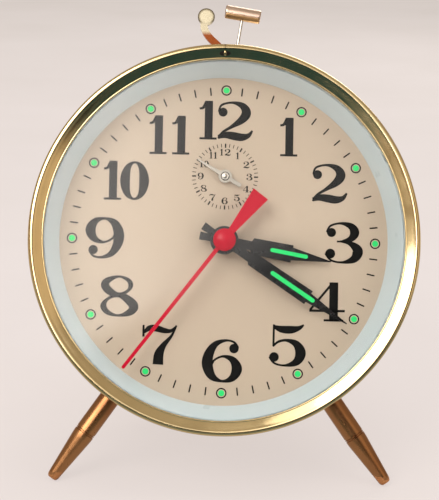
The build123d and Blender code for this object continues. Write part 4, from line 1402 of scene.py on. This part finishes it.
@dataclass(frozen=True)
class Sheet:
    """A flat sheet of the stage.

    Args:
        name: Sheet name.
        place: Middle of the sheet.
        half: Half sides of the sheet.
        color: Linear colour.
    """

    name: str
    place: Triple
    half: Point
    color: Color

    def matrix(self) -> Matrix:
        """Place of a flat square of side two, in world metres."""
        return Matrix.Translation(self.place) @ self._sides()

    def _sides(self) -> Matrix:
        """Stretch of a square of side two to the sheet's sides."""
        return Matrix.Diagonal((*self.half, 1.0, 1.0))

    def _lay(self, material: bpy.types.Material, parts: int = 1) -> bpy.types.Object:
        """Lay the sheet on the stage.

        Args:
            material: What covers it.
            parts: Faces along each side.

        Returns:
            The new object.
        """
        bm = bmesh.new()
        bmesh.ops.create_grid(bm, x_segments=parts, y_segments=parts, size=1.0, matrix=self.matrix())
        mesh = bpy.data.meshes.new(self.name)
        bm.to_mesh(mesh)
        bm.free()
        mesh.materials.append(material)
        sheet = bpy.data.objects.new(self.name, mesh)
        bpy.context.scene.collection.objects.link(sheet)
        return sheet


@dataclass(frozen=True)
class Floor(Sheet):
    """Wide pale floor whose colour stays nearly even under the camera.

    Args:
        far: Linear colour of the floor far behind the clock.
        share: Part of the floor's look that stays even under the camera.
    """

    far: Color = (0.68, 0.61, 0.565)
    share: float = 0.82

    def build(self) -> None:
        """Lay the floor."""
        material, wiring = Wiring.material("pale_floor", bare=True)
        place = wiring.place()
        depth = wiring.remap(wiring.add("VectorMath", "Value", {0: place}, "LENGTH"), span=(0.1, 1.6))
        weave = wiring.remap(wiring.noise(place, scale=9.0, detail=6.0), span=(0.3, 0.7), to=(-0.12, 0.12))
        cloth = wiring.blend(wiring.add("Math", "Value", {0: depth, 1: weave}, "ADD"), self.color, self.far)
        lit = wiring.add("BsdfDiffuse", "BSDF", {"Color": cloth})
        even = wiring.add("Emission", "Emission", {"Color": cloth})
        share = wiring.product(wiring.add("LightPath", "Is Camera Ray", {}), self.share)
        wiring.surface(wiring.add("MixShader", "Shader", {"Fac": share, 1: lit, 2: even}))
        self._lay(material, parts=8)


@dataclass(frozen=True)
class Card(Sheet):
    """A glowing card in dial millimetres that only shows in polished metal and glass, and faces the clock.

    Args:
        strength: Brightness.
    """

    strength: float = 1.0

    def matrix(self) -> Matrix:
        """Place of a square of side two that looks at the dial's centre."""
        turn = Vector(self.place).to_track_quat("Z", "Y").to_matrix().to_4x4()
        return SPACE.matrix(*self.place) @ turn @ self._sides()

    def build(self) -> None:
        """Hang the card."""
        material, wiring = Wiring.material(f"{self.name}_glow", bare=True)
        wiring.surface(wiring.add("Emission", "Emission", self._glow(wiring)))
        card = self._lay(material)
        card.visible_camera = False
        card.visible_diffuse = False
        card.visible_shadow = False
        card.visible_transmission = False

    def _glow(self, wiring: Wiring) -> dict[str | int, Feed]:
        """Colour and brightness of the card, here even."""
        return {"Color": self.color, "Strength": self.strength}


@dataclass(frozen=True)
class FloorCard(Card):
    """A card on the floor, in world metres, that fades to another colour at its rim.

    Args:
        rim: Linear colour at the rim.
        fade: Where the fade begins and ends, in parts of the half sides.
    """

    rim: Color = (1.0, 1.0, 1.0)
    fade: Point = (0.55, 0.98)

    def matrix(self) -> Matrix:
        """Place of a flat square of side two, in world metres."""
        return Sheet.matrix(self)

    def _glow(self, wiring: Wiring) -> dict[str | int, Feed]:
        """Colour and brightness of the card.

        Args:
            wiring: Wiring of the card's material.

        Returns:
            Inputs of the glow.
        """
        shift = wiring.add("VectorMath", "Vector", {0: wiring.place(), 1: self.place}, "SUBTRACT")
        parts = wiring.add("VectorMath", "Vector", {0: shift, 1: (*self.half, 1.0)}, "DIVIDE")
        reach = wiring.add("VectorMath", "Value", {0: parts}, "LENGTH")
        color = wiring.blend(wiring.remap(reach, self.fade), self.color, self.rim)
        return {"Color": color, "Strength": self.strength}


@dataclass(frozen=True)
class Window(Card):
    """A pale window that veils the glass, brightest on the left and dark below a slanting sill.

    Args:
        sill_way: Direction across the sill on the dial plane.
        sill: Where the light begins and is full along that direction, in dial millimetres.
        side: Where the light begins to sink toward the right and where it is least.
        least: Part of the light that stays on the right.
    """

    sill_way: Point = (-0.46, 0.89)
    sill: Point = (-16.0, 4.0)
    side: Point = (-65.0, 5.0)
    least: float = 0.2

    def matrix(self) -> Matrix:
        """Place of a square of side two parallel to the dial."""
        return SPACE.matrix(*self.place) @ self._sides()

    def _glow(self, wiring: Wiring) -> dict[str | int, Feed]:
        """Colour and brightness of the window.

        Args:
            wiring: Wiring of the card's material.

        Returns:
            Inputs of the glow.
        """
        right = Vector((1.0, 0.0, 0.0))
        across = right * self.sill_way[0] + SPACE.up * self.sill_way[1]
        rise = wiring.slide(across, self.sill, (0.0, self.strength))
        sink = wiring.slide(right, self.side, (1.0, self.least))
        return {"Color": self.color, "Strength": wiring.product(rise, sink)}


class Studio:
    """Pale floor, soft lights, reflection cards and the camera of the photo.

    Attributes:
        DARK: Linear colour of the dark card's middle.
        GREY: Linear colour between the dark card and the far one.
        PALE: Linear colour of the far card's rim.
        FLOOR: Floor that the clock stands on.
        LAMPS: Soft lights.
        CARDS: Dark cards on the floor in front, bright cards beside the camera and the window behind it.
        WALL: Linear colour of the room behind the floor.
        SOFT: Linear colours of the room's light below the horizon and overhead.
        SHINY: The same for polished metal.
        HORIZON: Heights between which the room changes, from -1 below to 1 overhead.
        SPOT: Camera place in dial millimetres.
        TILT: Camera turns about the dial's x, y and z axes, in degrees.
        LENS: Focal length.
        SENSOR: Long side of the picture for that length.
        NEAR: Nearest distance that the camera sees, in metres.
    """

    DARK: Color = (0.026, 0.065, 0.072)
    GREY: Color = (0.19, 0.22, 0.20)
    PALE: Color = (0.60, 0.53, 0.47)
    FLOOR: Floor = Floor("floor", (0.0, 0.0, 0.0), (6.0, 6.0), (0.807, 0.730, 0.701))
    CARDS: tuple[Card, ...] = (
        FloorCard("near_front_card", (0.17, -0.50, 0.006), (0.72, 0.44), DARK, rim=GREY),
        FloorCard("far_front_card", (0.2, -2.0, 0.003), (2.6, 2.2), GREY, rim=PALE),
        Card("bright_side_card", (-340.0, 430.0, 710.0), (280.0, 280.0), (1.0, 0.95, 0.86), 1.9),
        Card("warm_side_card", (600.0, 60.0, 550.0), (240.0, 240.0), (0.74, 0.60, 0.44)),
        Window("window_card", (35.0, 20.0, 440.0), (225.0, 190.0), (1.0, 0.93, 0.88), 4.8))
    LAMPS: tuple[Lamp, ...] = (
        Lamp("key_light", (-0.42, -0.55, 0.62), 0.55, 4.6, (1.0, 0.97, 0.93)),
        Lamp("fill_light", (0.65, -0.45, 0.35), 0.5, 2.0, (1.0, 0.97, 0.95), False),
        Lamp("top_light", (0.05, 0.05, 0.95), 0.6, 2.4, (1.0, 0.99, 0.98), False),
        Lamp("rear_light", (0.3, 0.8, 0.5), 0.5, 3.0, (1.0, 0.98, 0.96)))
    WALL: Color = (0.615, 0.551, 0.511)
    SOFT: tuple[Color, Color] = ((0.10, 0.075, 0.055), (0.75, 0.72, 0.68))
    SHINY: tuple[Color, Color] = ((0.34, 0.26, 0.18), (0.44, 0.38, 0.30))
    HORIZON: Point = (-0.1, 0.9)
    SPOT: Triple = (-10.9, -25.5, 398.9)
    TILT: Triple = (3.28, -1.39, 1.02)
    LENS: float = 100.58
    SENSOR: float = 36.0
    NEAR: float = 0.01

    def build(self) -> None:
        """Set the whole stage."""
        self.FLOOR.build()
        self._world()
        for thing in (*self.LAMPS, *self.CARDS):
            thing.build()
        self._camera()
        bpy.context.scene.view_settings.view_transform = "Standard"

    def _world(self) -> None:
        """Pale room: even for the camera, a soft vertical change for everything else."""
        world = bpy.data.worlds.new("room")
        bpy.context.scene.world = world
        world.use_nodes = True
        wiring = Wiring(world.node_tree)
        way = wiring.add("TexCoord", "Generated", {})
        rise = wiring.remap(wiring.add("SeparateXYZ", "Z", {"Vector": way}), self.HORIZON)
        glossy, seen = (wiring.add("LightPath", ray, {}) for ray in ("Is Glossy Ray", "Is Camera Ray"))
        room = wiring.blend(glossy, wiring.blend(rise, *self.SOFT), wiring.blend(rise, *self.SHINY))
        color = wiring.blend(seen, room, self.WALL)
        wiring.feed(wiring.tree.nodes["Background"], {"Color": color, "Strength": 1.0})

    def _camera(self) -> None:
        """Place the camera as fitted to the photo."""
        data = bpy.data.cameras.new("photo_camera")
        data.lens = self.LENS
        data.sensor_width = self.SENSOR
        data.clip_start = self.NEAR
        camera = bpy.data.objects.new("photo_camera", data)
        bpy.context.scene.collection.objects.link(camera)
        rx, ry, rz = (math.radians(a) for a in self.TILT)
        turn = Matrix.Rotation(ry, 3, "Y") @ Matrix.Rotation(rx, 3, "X") @ Matrix.Rotation(rz, 3, "Z")
        basis = Matrix((Vector((1.0, 0.0, 0.0)), SPACE.up, SPACE.front)).transposed()
        world = (basis @ turn).to_4x4()
        world.translation = SPACE.origin + basis @ Vector(self.SPOT) * MM
        camera.matrix_world = world
        bpy.context.scene.camera = camera


def main() -> None:
    """Dress the CAD nodes, add the fine pieces and set the stage."""
    paints = Paints()
    FrontRing(paints).build()
    DialPrint(paints).build()
    for strip in STRIPS:
        strip.build(paints)
    AlarmRivet(paints).build()
    TurnedLegs(paints).build()
    RearFittings(paints).build()
    Studio().build()
    bpy.context.view_layer.update()


if __name__ == "__main__":
    main()
